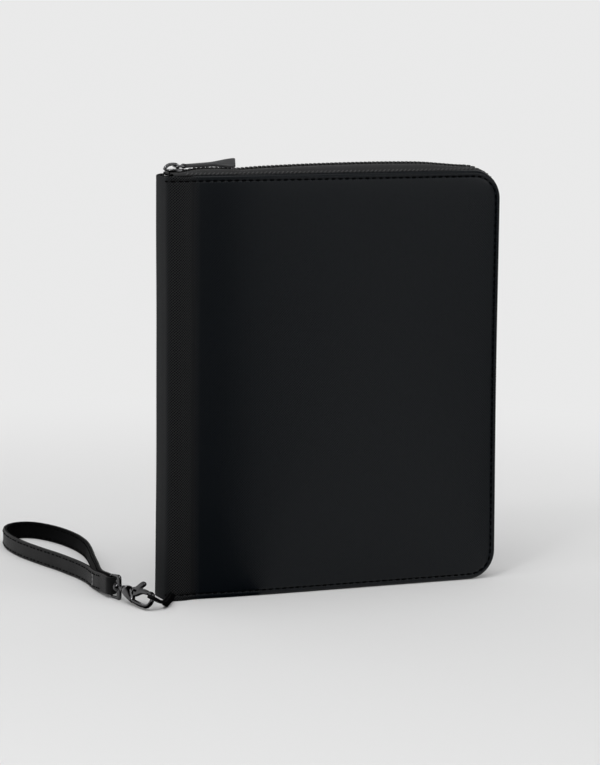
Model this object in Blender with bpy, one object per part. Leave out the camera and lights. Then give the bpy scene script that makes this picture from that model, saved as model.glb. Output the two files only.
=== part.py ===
"""Zip-around leather organizer with a wrist strap on a swivel clasp, closed and standing on its lower edge.

The spine wall's foot is the origin. X runs from the spine to the fore-edge, Y from the front cover to the
back cover and Z up. Every size below is in millimetres.
"""

import math

import bmesh
import bpy
from mathutils import Vector

MM = 0.001
GAP = 0.3

# The case, from outside to outside.
CASE_HEIGHT = 230.0
CASE_WIDTH = 197.4
CASE_THICK = 27.0
CORNER_R = 16.0
SPINE_WALL = 2.0
SPINE_LINING = 0.8

# A cover is leather, padding, board and lining, with a turned rim round all of them.
LEATHER = 1.1
PADDING = 0.8
BOARD = 1.0
LINING = 0.7
RIM = 1.2
EDGE_TURN = 1.6

# Zip: a moulded chain of wedge teeth on two tapes.
TOOTH_PITCH = 2.5
TOOTH_TIP = 0.55
TOOTH_REACH = 0.5
TOOTH_ROOT = 2.0
CHAIN_HALF = 3.0
CHAIN_THICK = 2.4
TAPE_THICK = 0.7
RISE_PARKED = 1.0
RISE_RUN = 3.4
RISE_FORE = 1.4
RISE_FOOT = -1.8
RUN_END = 157.0

# Slider and pull.
SLIDER_LENGTH = 9.6
SLIDER_X = 6.8
SLIDER_SIDE = 4.2
PLATE = 0.9
FLANGE = 0.9
CROWN_HEIGHT = 3.2
CROWN_HALF = 1.1
CROWN_BACK = -4.7
CROWN_LENGTH = 8.6
CROWN_WALL = 1.2
LINK_WIRE = 0.6
LINK_LENGTH = 5.2
LINK_HALF = 2.6
TAB_LENGTH = 28.6
TAB_NECK = 1.5
TAB_END = 4.2
TAB_THICK = 2.1
TAB_TWIST = 16.0
TAB_LIFT = 3.6

# Leather loop at the foot of the spine, and the clasp that hangs in it.
LOOP_LEATHER = 1.2
LOOP_HEIGHT = 3.2
LOOP_FOOT = 0.4
LOOP_ANGLE = 50.0
CLASP_NOSE = (-14.7, -30.1)
CLASP_YAW = 13.0
CLASP_ROLL = 60.0
CLASP_Z = 6.8
HOOK_BAR = 1.0
HOOK_HALF = 4.3
HOOK_BEND = 3.6
GATE_PIVOT = (17.6, 0.9)
GATE_HALF = 0.95
GATE_SLOT = (9.0, 20.6)
SLOT_FLOOR = -1.3
PIN_R = 0.7
STEM_R = 1.0
STEM_HEAD = 1.6
SEAT_END = 27.3
RING_FRONT = 32.3
RING_LENGTH = 9.5
RING_HALF = 5.95
RING_WIRE = 0.65

# Wrist strap: an outer band and its lining, both standing on edge.
STRAP_WIDTH = 10.0
STRAP_BAND = 1.1
STRAP_LINING = 0.7
STRAP_FOOT = 0.2
STRAP_REACH = 185.4

# Inside fittings, placed from the covers' edges.
FITTING_SIDE = 11.2
FITTING_FORE = 19.0
FITTING_FOOT = 14.0
POCKET = 0.8
SLIP_DROP = 80.0
SLIP_DIP = 10.0
CARD_CLOTH = 0.6
CARD_WIDTH = 90.0
CARD_LOW = 44.0
CARD_STEP = 26.0
PEN_WIDTH = 14.0
PEN_LENGTH = 40.0
PEN_DROP = 25.0
PEN_FORE = 31.0
BAND_WIDTH = 25.0
BAND_DROP = 33.0
BAND_STEP = 47.0
BAND_INSET = 6.0
CABLE_LOOPS = 5
CABLE_BULGE = 3.3
MESH = 0.7
MESH_DROP = 25.0
BINDING = 5.7

HALF = CASE_THICK / 2
SPINE_X = -SPINE_WALL / 2
FOLD_X = SPINE_X + HALF
COVER_X0 = FOLD_X + GAP
COVER_X1 = SPINE_X + CASE_WIDTH
COVER_THICK = LEATHER + PADDING + BOARD + LINING + 3 * GAP
INNER = HALF - COVER_THICK
CHAIN_START = SLIDER_X - SLIDER_LENGTH / 2 + 0.9
TAPE_START = SLIDER_X + SLIDER_LENGTH / 2 + 0.8
RUN_SLOPE = (RISE_RUN - RISE_PARKED) / (RUN_END - SLIDER_X)


def clear_scene():
    for item in list(bpy.data.objects):
        bpy.data.objects.remove(item, do_unlink=True)


def look(name, colour, roughness, metallic=0.0):
    material = bpy.data.materials.new(name)
    material.use_nodes = True
    shader = material.node_tree.nodes["Principled BSDF"]
    shader.inputs["Base Color"].default_value = (*colour, 1.0)
    shader.inputs["Roughness"].default_value = roughness
    shader.inputs["Metallic"].default_value = metallic
    return material


def make(name, shape, material, origin=(0.0, 0.0, 0.0), smooth=False):
    """One closed body from points in millimetres, with its own origin."""
    points, faces = shape
    start = Vector(origin)
    mesh = bpy.data.meshes.new(name)
    mesh.from_pydata([(Vector(p) - start) * MM for p in points], [], faces)
    work = bmesh.new()
    work.from_mesh(mesh)
    bmesh.ops.recalc_face_normals(work, faces=work.faces)
    work.to_mesh(mesh)
    work.free()
    if smooth:
        mesh.shade_smooth()
        mesh.set_sharp_from_angle(angle=math.radians(40))
    item = bpy.data.objects.new(name, mesh)
    item.location = start * MM
    bpy.context.scene.collection.objects.link(item)
    mesh.materials.append(material)
    return item


def helper(name, shape):
    """A body that only cuts or joins another one."""
    item = make(name, shape, look(name, (0.2, 0.2, 0.2), 0.5))
    item.hide_render = True
    item.display_type = "WIRE"
    return item


def combine(item, other, operation):
    step = item.modifiers.new(other.name, "BOOLEAN")
    step.operation = operation
    step.solver = "EXACT"
    step.object = other


def loft(rings, closed=False):
    """Rings of equal length joined in order; the two ends are capped unless the rings run in a circle."""
    count = len(rings[0])
    points = [p for ring in rings for p in ring]
    faces = []
    for i in range(len(rings) if closed else len(rings) - 1):
        j = (i + 1) % len(rings)
        for k in range(count):
            m = (k + 1) % count
            faces.append((i * count + k, i * count + m, j * count + m, j * count + k))
    if not closed:
        last = (len(rings) - 1) * count
        faces.append(tuple(range(count)))
        faces.append(tuple(last + k for k in range(count)))
    return points, faces


def arc(cx, cy, radius, start, end, steps):
    for i in range(steps + 1):
        a = math.radians(start + (end - start) * i / steps)
        yield cx + radius * math.cos(a), cy + radius * math.sin(a)


def smooth(t):
    t = min(max(t, 0.0), 1.0)
    return t * t * (3 - 2 * t)


def block(x, y, z):
    return loft([[(x[0], y[0], h), (x[1], y[0], h), (x[1], y[1], h), (x[0], y[1], h)] for h in z])


def cover_outline(inset, fold_inset):
    """A cover's edge in X and Z: square at the fold, rounded at the fore-edge."""
    x0, x1 = COVER_X0 + fold_inset, COVER_X1 - inset
    z0, z1, r = inset, CASE_HEIGHT - inset, CORNER_R - inset
    return [
        (x0, z0),
        *arc(x1 - r, z0 + r, r, -90, 0, 8),
        *arc(x1 - r, z1 - r, r, 0, 90, 8),
        (x0, z1),
    ]


def cover_ring(side, depth, inset, fold_inset):
    y = side * (HALF - depth)
    return [(x, y, z) for x, z in cover_outline(inset, fold_inset)]


def cover_layer(side, depth, thick):
    inset = RIM + GAP
    return loft([cover_ring(side, d, inset, inset) for d in (depth, depth + thick)])


def cover_shell(side):
    turn = EDGE_TURN * (1 - math.sqrt(0.5))
    return loft(
        [
            cover_ring(side, 0.0, EDGE_TURN, 0.0),
            cover_ring(side, turn, turn, 0.0),
            cover_ring(side, EDGE_TURN, 0.0, 0.0),
            cover_ring(side, COVER_THICK - 0.4, 0.0, 0.0),
            cover_ring(side, COVER_THICK, 0.4, 0.4),
            cover_ring(side, COVER_THICK, RIM, RIM),
            cover_ring(side, LEATHER, RIM, RIM),
        ]
    )


def spine_shell(inner, outer, low, high, turn):
    """A half-round wall about the vertical line midway between the two folds."""
    profile = [
        (inner, low), (outer - turn, low), (outer, low + turn),
        (outer, high - turn), (outer - turn, high), (inner, high),
    ]
    rings = []
    for i in range(25):
        a = math.radians(-90 + 180 * i / 24)
        rings.append([(FOLD_X - r * math.cos(a), r * math.sin(a), z) for r, z in profile])
    return loft(rings)


def loop_heading():
    a = math.radians(LOOP_ANGLE)
    return Vector((-math.cos(a), -math.sin(a), 0.0))


def loop_notch():
    """The cut through the spine's foot that the two layers of the loop pass."""
    out = loop_heading()
    across = Vector((-out.y, out.x, 0.0))
    wide = LOOP_LEATHER + GAP / 2 + 0.5
    middle = Vector((FOLD_X, 0.0, 0.0))
    rings = []
    for z in (-2.0, LOOP_FOOT + LOOP_HEIGHT + 0.6):
        ring = []
        for r, w in ((HALF - 6, -wide), (HALF + 4, -wide), (HALF + 4, wide), (HALF - 6, wide)):
            p = middle + out * r + across * w
            ring.append((p.x, p.y, z))
        rings.append(ring)
    return loft(rings)


def clasp_frame():
    """The clasp's nose and its axes: back to the ring, across the hook, and square to the hook."""
    yaw, roll = math.radians(CLASP_YAW), math.radians(CLASP_ROLL)
    nose = Vector((*CLASP_NOSE, CLASP_Z))
    back = Vector((-math.sin(yaw), math.cos(yaw), 0.0))
    right = Vector((back.y, -back.x, 0.0))
    across = right * math.cos(roll) + Vector((0, 0, 1)) * math.sin(roll)
    return nose, back, across, back.cross(across)


NOSE, BACK, ACROSS, SQUARE = clasp_frame()


def on_clasp(t, b, c=0.0):
    return NOSE + BACK * t + ACROSS * b + SQUARE * c


def strip(path, widths, thick, closed=False):
    """A flat strip: path is its middle line, widths its half-height vectors."""
    rings = []
    count = len(path)
    for i, (p, w) in enumerate(zip(path, widths)):
        ahead = path[(i + 1) % count] if closed or i + 1 < count else p
        behind = path[i - 1] if closed or i else p
        n = (ahead - behind).cross(w).normalized() * (thick / 2)
        rings.append([tuple(p + w + n), tuple(p + w - n), tuple(p - w - n), tuple(p - w + n)])
    return loft(rings, closed)


def loop_strip():
    """Out of the spine's notch, round the hook's nose bar and back beside itself."""
    out = loop_heading()
    middle = Vector((FOLD_X, 0.0, LOOP_FOOT + LOOP_HEIGHT / 2))
    up = Vector((0, 0, LOOP_HEIGHT / 2))
    tilted = ACROSS * (LOOP_HEIGHT / 2)
    level = Vector((ACROSS.z, 0.0, -ACROSS.x)).normalized()
    p0 = middle + out * (HALF + 1.5)
    p3 = NOSE + level * 4.6
    p1, p2 = p0 + out * 9.0, p3 + level * 2.0 + Vector((3.0, 0, 0))
    stem = [(middle + out * r, up) for r in (6.5, HALF - 1.0)]
    for i in range(9):
        t = i / 8
        p = p0 * (1 - t) ** 3 + p1 * 3 * t * (1 - t) ** 2 + p2 * 3 * t * t * (1 - t) + p3 * t ** 3
        stem.append((p, up.lerp(tilted, smooth(t)).normalized() * (LOOP_HEIGHT / 2)))
    there, back = [], []
    offset = (LOOP_LEATHER + GAP) / 2
    for i, (p, w) in enumerate(stem):
        ahead = stem[min(i + 1, len(stem) - 1)][0] - stem[max(i - 1, 0)][0]
        n = ahead.cross(w).normalized() * offset
        there.append((p + n, w))
        back.append((p - n, w))
    side = (there[-1][0] - back[-1][0]).normalized()
    eye = HOOK_BAR + 0.45 + LOOP_LEATHER / 2
    bend = [(NOSE + level * x + side * y, tilted) for x, y in arc(0, 0, eye, 50, 310, 12)]
    whole = there + bend + back[::-1]
    return strip([p for p, _ in whole], [w for _, w in whole], LOOP_LEATHER)


def bar(path, radius, sides, closed=False, flat=None):
    """A round bar along points that lie in one plane; flat is that plane's normal."""
    rings = []
    count = len(path)
    for i, p in enumerate(path):
        ahead = path[(i + 1) % count] if closed or i + 1 < count else p
        behind = path[i - 1] if closed or i else p
        n = (ahead - behind).cross(flat).normalized()
        ring = [p + n * x + flat * y for x, y in arc(0, 0, radius, 0, 360 - 360 / sides, sides - 1)]
        rings.append([tuple(q) for q in ring])
    return loft(rings, closed)


def lathe(centre, along, first, second, profile, sides=12):
    """A turned body: profile holds (distance along, radius) pairs."""
    rings = []
    for t, r in profile:
        c = centre + along * t
        rings.append([tuple(c + first * x + second * y)
                      for x, y in arc(0, 0, r, 0, 360 - 360 / sides, sides - 1)])
    return loft(rings)


def hook_bar():
    """The open eye: round the nose from the gate's tip, and back along the lower side into the barrel."""
    h, r = HOOK_HALF, HOOK_BEND
    flat = [(5.0, h)]
    flat += [(r - x, h - r + y) for x, y in arc(0, 0, r, 90, 0, 5)]
    flat += [(r - x, -h + r - y) for x, y in arc(0, 0, r, 0, 90, 5)]
    flat += [(9.0, -h), (12.5, -h + 0.6), (16.5, -h + 2.2)]
    return bar([on_clasp(t, b) for t, b in flat], HOOK_BAR, 8, flat=SQUARE)


def hook_barrel():
    """The slim body behind the eye: sections as (along, middle, half height, half width)."""
    rings = []
    sections = [(13.0, -3.3, 1.3, 1.2), (15.5, -1.7, 2.4, 2.0), (18.0, -0.6, 3.1, 2.5), (21.0, -0.1, 3.0, 2.7),
                (25.0, 0.0, 2.7, 2.7), (SEAT_END, 0.0, 2.3, 2.3)]
    for t, middle, high, wide in sections:
        ring = [on_clasp(t, middle + high * math.sin(a), wide * math.cos(a))
                for a in (math.radians(30 * i) for i in range(12))]
        rings.append([tuple(p) for p in ring])
    return loft(rings)


def gate_plate():
    """The thumb lever: a tip on the hook's end, a knob for the thumb and a round heel on the pin."""
    side = [(5.5, 3.4), (5.5, 5.0), (8.2, 5.3), (10.6, 5.2), (11.6, 6.6), (13.0, 7.1), (14.2, 6.6), (15.0, 5.4),
            (17.2, 4.0), (18.9, 2.6), (19.4, 1.0), (18.7, -0.4), (17.6, -0.8), (16.3, -0.3), (15.0, 1.4), (12.0, 3.3)]
    return loft([[tuple(on_clasp(t, b, c)) for t, b in side] for c in (-GATE_HALF, GATE_HALF)])


def clasp_block(t, b, c):
    return loft([[tuple(on_clasp(x, y, z)) for x, y in ((t[0], b[0]), (t[1], b[0]), (t[1], b[1]), (t[0], b[1]))]
                 for z in c])


def pivot_rod(radius, reach):
    t, b = GATE_PIVOT
    return lathe(on_clasp(t, b), SQUARE, BACK, ACROSS, [(-reach, radius), (reach, radius)])


def ring_wire():
    up = Vector((0, 0, 1))
    right = BACK.cross(up)
    flat = []
    r = 1.5
    t0, t1, h = RING_FRONT, RING_FRONT + RING_LENGTH, RING_HALF
    for cx, cy, a in ((t1 - r, h - r, 0), (t0 + r, h - r, 90), (t0 + r, -h + r, 180), (t1 - r, -h + r, 270)):
        flat += list(arc(cx, cy, r, a, a + 90, 3))
    return bar([NOSE + BACK * t + up * z for t, z in flat], RING_WIRE, 8, closed=True, flat=right)


def stem_shape():
    up = Vector((0, 0, 1))
    profile = [(SEAT_END - 5.0, STEM_HEAD), (SEAT_END - 3.0, STEM_HEAD), (SEAT_END - 2.99, STEM_R),
               (SEAT_END + 0.4, STEM_R), (SEAT_END + 0.41, 2.2), (SEAT_END + 2.0, 2.2),
               (SEAT_END + 2.6, 1.5), (RING_FRONT, STEM_R)]
    return lathe(NOSE, BACK, up, BACK.cross(up), profile)


def seat_cutter():
    up = Vector((0, 0, 1))
    bore, room = STEM_R + 0.4, STEM_HEAD + 0.4
    profile = [(SEAT_END - 5.4, room), (SEAT_END - 2.6, room), (SEAT_END - 2.59, bore), (SEAT_END + 2.0, bore)]
    return lathe(NOSE, BACK, up, BACK.cross(up), profile)


def strap_path():
    """The middle line of the outer band on the floor: a long drop shape round the ring's far bar.

    Each knot is a distance beside the ring's bar and a share of the loop's reach from it.
    """
    around = NOSE + BACK * (RING_FRONT + RING_LENGTH)
    radius = RING_WIRE + 0.4 + STRAP_LINING + 0.2 + STRAP_BAND / 2
    left = [(-2.4, 0.045), (-2.3, 0.088), (-1.5, 0.148), (-0.3, 0.212), (-0.5, 0.288), (-2.1, 0.366),
            (-4.1, 0.444), (-6.7, 0.514), (-9.3, 0.590), (-11.5, 0.671), (-12.5, 0.757), (-11.7, 0.838),
            (-8.5, 0.919), (-2.4, 0.976)]
    right = [(5.6, 1.000), (13.1, 0.985), (18.7, 0.935), (22.5, 0.870), (24.7, 0.795), (25.4, 0.703),
             (23.7, 0.601), (19.7, 0.496), (13.7, 0.369), (8.7, 0.256), (5.1, 0.180), (2.9, 0.110),
             (2.5, 0.051)]
    nose = [(around.x + x, around.y + y) for x, y in arc(0, 0, radius, 0, -180, 6)]
    knots = [(around.x + x, around.y + STRAP_REACH * share) for x, share in left + right] + nose
    path = []
    for i in range(len(knots)):
        a, b, c, d = (Vector(knots[(i + k) % len(knots)]) for k in (-1, 0, 1, 2))
        steps = 2 if i < len(left) + len(right) else 1
        for t in (k / steps for k in range(steps)):
            p = b * 2 + (c - a) * t + (a * 2 - b * 5 + c * 4 - d) * t * t + (b * 3 - a - c * 3 + d) * t ** 3
            path.append(p / 2)
    return path


def strap_layer(offset, thick):
    """A closed band beside the strap's path, on the inner side for a positive offset."""
    path = strap_path()
    near = (NOSE + BACK * (RING_FRONT + RING_LENGTH)).y
    points = []
    for i, p in enumerate(path):
        along = (path[(i + 1) % len(path)] - path[i - 1]).normalized()
        q = p + Vector((along.y, -along.x)) * offset
        low = STRAP_FOOT + STRAP_WIDTH / 2
        points.append(Vector((q.x, q.y, CLASP_Z + (low - CLASP_Z) * smooth((p.y - near - 3) / 28))))
    return strip(points, [Vector((0, 0, STRAP_WIDTH / 2))] * len(points), thick, closed=True)


TOP_RUN = COVER_X1 - CORNER_R - CHAIN_START
CORNER_RUN = CORNER_R * math.pi / 2
FORE_RUN = CASE_HEIGHT - 2 * CORNER_R
FOOT_RUN = COVER_X1 - CORNER_R - TAPE_START
ZIP_RUN = TOP_RUN + FORE_RUN + FOOT_RUN + 2 * CORNER_RUN


def rail(s):
    """The covers' edge at run s: its point and its outward direction, in X and Z."""
    x1, z1, r = COVER_X1 - CORNER_R, CASE_HEIGHT - CORNER_R, CORNER_R
    if s <= TOP_RUN:
        return (CHAIN_START + s, CASE_HEIGHT), (0.0, 1.0)
    s -= TOP_RUN
    if s <= CORNER_RUN:
        a = math.pi / 2 - s / r
        return (x1 + r * math.cos(a), z1 + r * math.sin(a)), (math.cos(a), math.sin(a))
    s -= CORNER_RUN
    if s <= FORE_RUN:
        return (COVER_X1, z1 - s), (1.0, 0.0)
    s -= FORE_RUN
    if s <= CORNER_RUN:
        a = -s / r
        return (x1 + r * math.cos(a), r + r * math.sin(a)), (math.cos(a), math.sin(a))
    return (x1 - (s - CORNER_RUN), 0.0), (0.0, -1.0)


def rise(s):
    """How far the chain stands out of the covers' edges: a straight climb on top, flush on the foot."""
    x = CHAIN_START + s
    climb = RISE_PARKED + RUN_SLOPE * (x - SLIDER_X)
    over = smooth((x - RUN_END) / (COVER_X1 - CORNER_R - RUN_END))
    foot = smooth((s - TOP_RUN - CORNER_RUN - FORE_RUN + 18.0) / (CORNER_RUN + 14.0))
    return climb * (1 - over) + (RISE_FORE + (RISE_FOOT - RISE_FORE) * foot) * over


def on_zip(s, y, n):
    (x, z), (nx, nz) = rail(s)
    out = rise(s) + n
    return x + nx * out, y, z + nz * out


def teeth(side, first, last):
    """One row of the chain: a cord with wedge teeth that reach past the middle into the other row."""
    inner, outer = [], []
    k = first
    while k < last:
        s = k * TOOTH_PITCH
        if (k - first) % 4 == 0 or not (s < TOP_RUN - 14 or TOP_RUN + CORNER_RUN < s < ZIP_RUN - FOOT_RUN - 30
                                        or s > ZIP_RUN - FOOT_RUN + 14):
            outer.append((s, len(inner)))
        middle = s + TOOTH_PITCH / 2
        inner += [(s, TOOTH_ROOT), (middle - TOOTH_TIP / 2, -TOOTH_REACH), (middle + TOOTH_TIP / 2, -TOOTH_REACH)]
        k += 1
    inner.append((k * TOOTH_PITCH, TOOTH_ROOT))
    outer.append((k * TOOTH_PITCH, len(inner) - 1))
    points, faces = [], []
    levels = (-CHAIN_THICK / 2, CHAIN_THICK / 2)
    for n in levels:
        points += [on_zip(s, side * y, n) for s, y in inner]
    for n in levels:
        points += [on_zip(s, side * CHAIN_HALF, n) for s, _ in outer]
    m, o = len(inner), len(outer)
    for g in range(o - 1):
        a, b = outer[g][1], outer[g + 1][1]
        low, high = 2 * m + g, 2 * m + o + g
        faces.append(tuple(range(a, b + 1)) + (low + 1, low))
        faces.append(tuple(m + i for i in range(a, b + 1)) + (high + 1, high))
        faces.append((low, low + 1, high + 1, high))
    faces += [(i, i + 1, m + i + 1, m + i) for i in range(m - 1)]
    faces.append((0, m, 2 * m + o, 2 * m))
    faces.append((m - 1, 2 * m - 1, 2 * m + 2 * o - 1, 2 * m + o - 1))
    return points, faces


def tape(side):
    """A woven strip from under a cover's edge, up over it and along to the chain."""
    stops = [TAPE_START - CHAIN_START, RUN_END - CHAIN_START]
    stops += [RUN_END - CHAIN_START + d for d in (7.0, 14.0)]
    stops += [TOP_RUN + CORNER_RUN * i / 6 for i in range(7)]
    stops += [TOP_RUN + CORNER_RUN + FORE_RUN + CORNER_RUN * i / 6 for i in range(7)]
    stops += [ZIP_RUN - FOOT_RUN + 6.0, ZIP_RUN - FOOT_RUN + 12.0, ZIP_RUN]
    rings = []
    lie = INNER - GAP - TAPE_THICK / 2
    for s in stops:
        h = rise(s)
        line = [Vector(p) for p in ((lie, -7.0), (lie, -1.2), (lie - 0.75, 0.55 * h + 0.1),
                                    (5.4, h - 0.1), (CHAIN_HALF + GAP, h))]
        one, two = [], []
        for i, p in enumerate(line):
            along = (line[min(i + 1, 4)] - line[max(i - 1, 0)]).normalized() * (TAPE_THICK / 2)
            one.append((p.x + along.y, p.y - along.x))
            two.append((p.x - along.y, p.y + along.x))
        rings.append([on_zip(s, side * y, n - h) for y, n in one + two[::-1]])
    return loft(rings)


def slider_frame():
    a = math.atan(RUN_SLOPE)
    return (Vector((SLIDER_X, 0.0, CASE_HEIGHT + RISE_PARKED)), Vector((math.cos(a), 0, math.sin(a))),
            Vector((-math.sin(a), 0, math.cos(a))))


SEAT, TRAVEL, OVER = slider_frame()


def on_slider(u, y, v):
    return tuple(SEAT + TRAVEL * u + Vector((0, y, 0)) + OVER * v)


def slider_plate(up):
    """One plate of the slider with the two flanges that hold the chain and let the tapes pass."""
    rings = []
    near, face = CHAIN_THICK / 2 + GAP, CHAIN_THICK / 2 + GAP + PLATE
    lip = TAPE_THICK / 2 + 0.4
    inside = SLIDER_SIDE - FLANGE
    for u, w in ((-0.5, 0.35), (-0.44, 0.0), (0.44, 0.0), (0.5, 0.35)):
        out = SLIDER_SIDE - w
        ring = [(-out, lip), (-out, face - 0.3), (-out + 0.5, face), (out - 0.5, face), (out, face - 0.3), (out, lip),
                (inside, lip), (inside, near), (-inside, near), (-inside, lip)]
        rings.append([on_slider(u * SLIDER_LENGTH, y, up * v) for y, v in ring])
    return loft(rings)


PLATE_TOP = CHAIN_THICK / 2 + GAP + PLATE


def slider_crown():
    """The bridge on the upper plate: an arch with a window for the link."""
    base, top = PLATE_TOP - 0.5, PLATE_TOP + CROWN_HEIGHT
    u0, u1, wall = CROWN_BACK, CROWN_BACK + CROWN_LENGTH, CROWN_WALL
    side = [(u0, base), (u0, top - 1.4), (u0 + 0.5, top - 0.6), (u0 + 1.5, top), (u1 - 1.5, top), (u1 - 0.5, top - 0.6),
            (u1, top - 1.4), (u1, base), (u1 - wall, base), (u1 - wall, top - wall - 0.7), (u1 - wall - 0.7, top - wall),
            (u0 + wall + 0.7, top - wall), (u0 + wall, top - wall - 0.7), (u0 + wall, base)]
    return loft([[on_slider(u, y, v) for u, v in side] for y in (-CROWN_HALF, CROWN_HALF)])


LINK_U = CROWN_BACK + CROWN_LENGTH - CROWN_WALL - GAP - LINK_WIRE - 0.2
LINK_V = PLATE_TOP + GAP + LINK_WIRE


def link_wire():
    r, x1, h = 1.0, LINK_LENGTH, LINK_HALF
    flat = []
    for cx, cy, a in ((x1 - r, h - r, 0), (r, h - r, 90), (r, -h + r, 180), (x1 - r, -h + r, 270)):
        flat += list(arc(cx, cy, r, a, a + 90, 3))
    path = [Vector(on_slider(LINK_U + u, y, LINK_V)) for u, y in flat]
    return bar(path, LINK_WIRE, 8, closed=True, flat=OVER)


def tab_frame():
    a = math.radians(TAB_LIFT)
    return (Vector(on_slider(LINK_U + LINK_LENGTH, 0.0, LINK_V)),
            Vector((math.cos(a), 0, math.sin(a))), Vector((-math.sin(a), 0, math.cos(a))))


def tab_eye():
    pin, _, _ = tab_frame()
    inner, outer = LINK_WIRE + 0.35, LINK_WIRE + 0.35 + 0.7
    rings = []
    for i in range(12):
        x, z = math.cos(math.radians(30 * i)), math.sin(math.radians(30 * i))
        rings.append([tuple(pin + TRAVEL * (r * x) + OVER * (r * z) + Vector((0, y, 0)))
                      for r, y in ((inner, -TAB_NECK), (outer, -TAB_NECK), (outer, TAB_NECK), (inner, TAB_NECK))])
    return loft(rings, closed=True)


def tab_blade():
    """The flared tongue of the pull, with a twist that turns its face to the front cover."""
    pin, along, over = tab_frame()
    rings = []
    reach = TAB_LENGTH - 1.5
    for t in (0.0, 0.2, 0.45, 0.6, 0.72, 0.84, 0.97, 1.0):
        turn = math.radians(TAB_TWIST) * smooth(t * 1.1)
        wide = TAB_NECK + (TAB_END - TAB_NECK) * smooth((t - 0.45) / 0.52) - (0.5 if t == 1.0 else 0.0)
        thick = TAB_THICK / 2 * (0.8 if t == 1.0 else 1.0)
        y = Vector((0, math.cos(turn), 0)) + over * math.sin(turn)
        z = over * math.cos(turn) - Vector((0, math.sin(turn), 0))
        c = pin + along * (1.5 + reach * t)
        rim = 0.45
        rings.append([tuple(c + y * a + z * b) for a, b in (
            (-wide, -thick + rim), (-wide, thick - rim), (-wide + rim, thick), (wide - rim, thick),
            (wide, thick - rim), (wide, -thick + rim), (wide - rim, -thick), (-wide + rim, -thick))])
    return loft(rings)


def panel(x, z, y0, thick, dip=0.0):
    """A flat pocket wall with a mouth that dips in the middle."""
    top = [(x[1] + (x[0] - x[1]) * i / 8, z[1] - dip * math.sin(math.pi * i / 8) ** 2) for i in range(9)]
    outline = [(x[0], z[0]), (x[1], z[0]), *top]
    return loft([[(a, y, b) for a, b in outline] for y in (y0, y0 + thick)])


def cable_band(x, z):
    """An elastic band sewn down at even steps, standing off the lining between them."""
    base, thick = INNER - GAP, 0.9
    steps = CABLE_LOOPS * 6
    line = []
    for i in range(steps + 1):
        lift = CABLE_BULGE * abs(math.sin(math.pi * i / 6)) ** 0.7
        line.append((x[0] + (x[1] - x[0]) * i / steps, base - lift))
    outline = line + [(a, b - thick) for a, b in line[::-1]]
    return loft([[(a, b, h) for a, b in outline] for h in z])


def pen_loop(x, z):
    """A flattened elastic tube on the front lining."""
    base, depth, thick, soft = -INNER + GAP, 6.6, 0.9, 1.8

    def outline(inset):
        x0, x1, y0, y1, r = x[0] + inset, x[1] - inset, base + inset, base + depth - inset, soft - inset
        return [*arc(x1 - r, y0 + r, r, -90, 0, 2), *arc(x1 - r, y1 - r, r, 0, 90, 2),
                *arc(x0 + r, y1 - r, r, 90, 180, 2), *arc(x0 + r, y0 + r, r, 180, 270, 2)]

    rings = [[(a, b, h) for a, b in outline(i)] for i, h in ((0, z[0]), (0, z[1]), (thick, z[1]), (thick, z[0]))]
    return loft(rings, closed=True)


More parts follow.
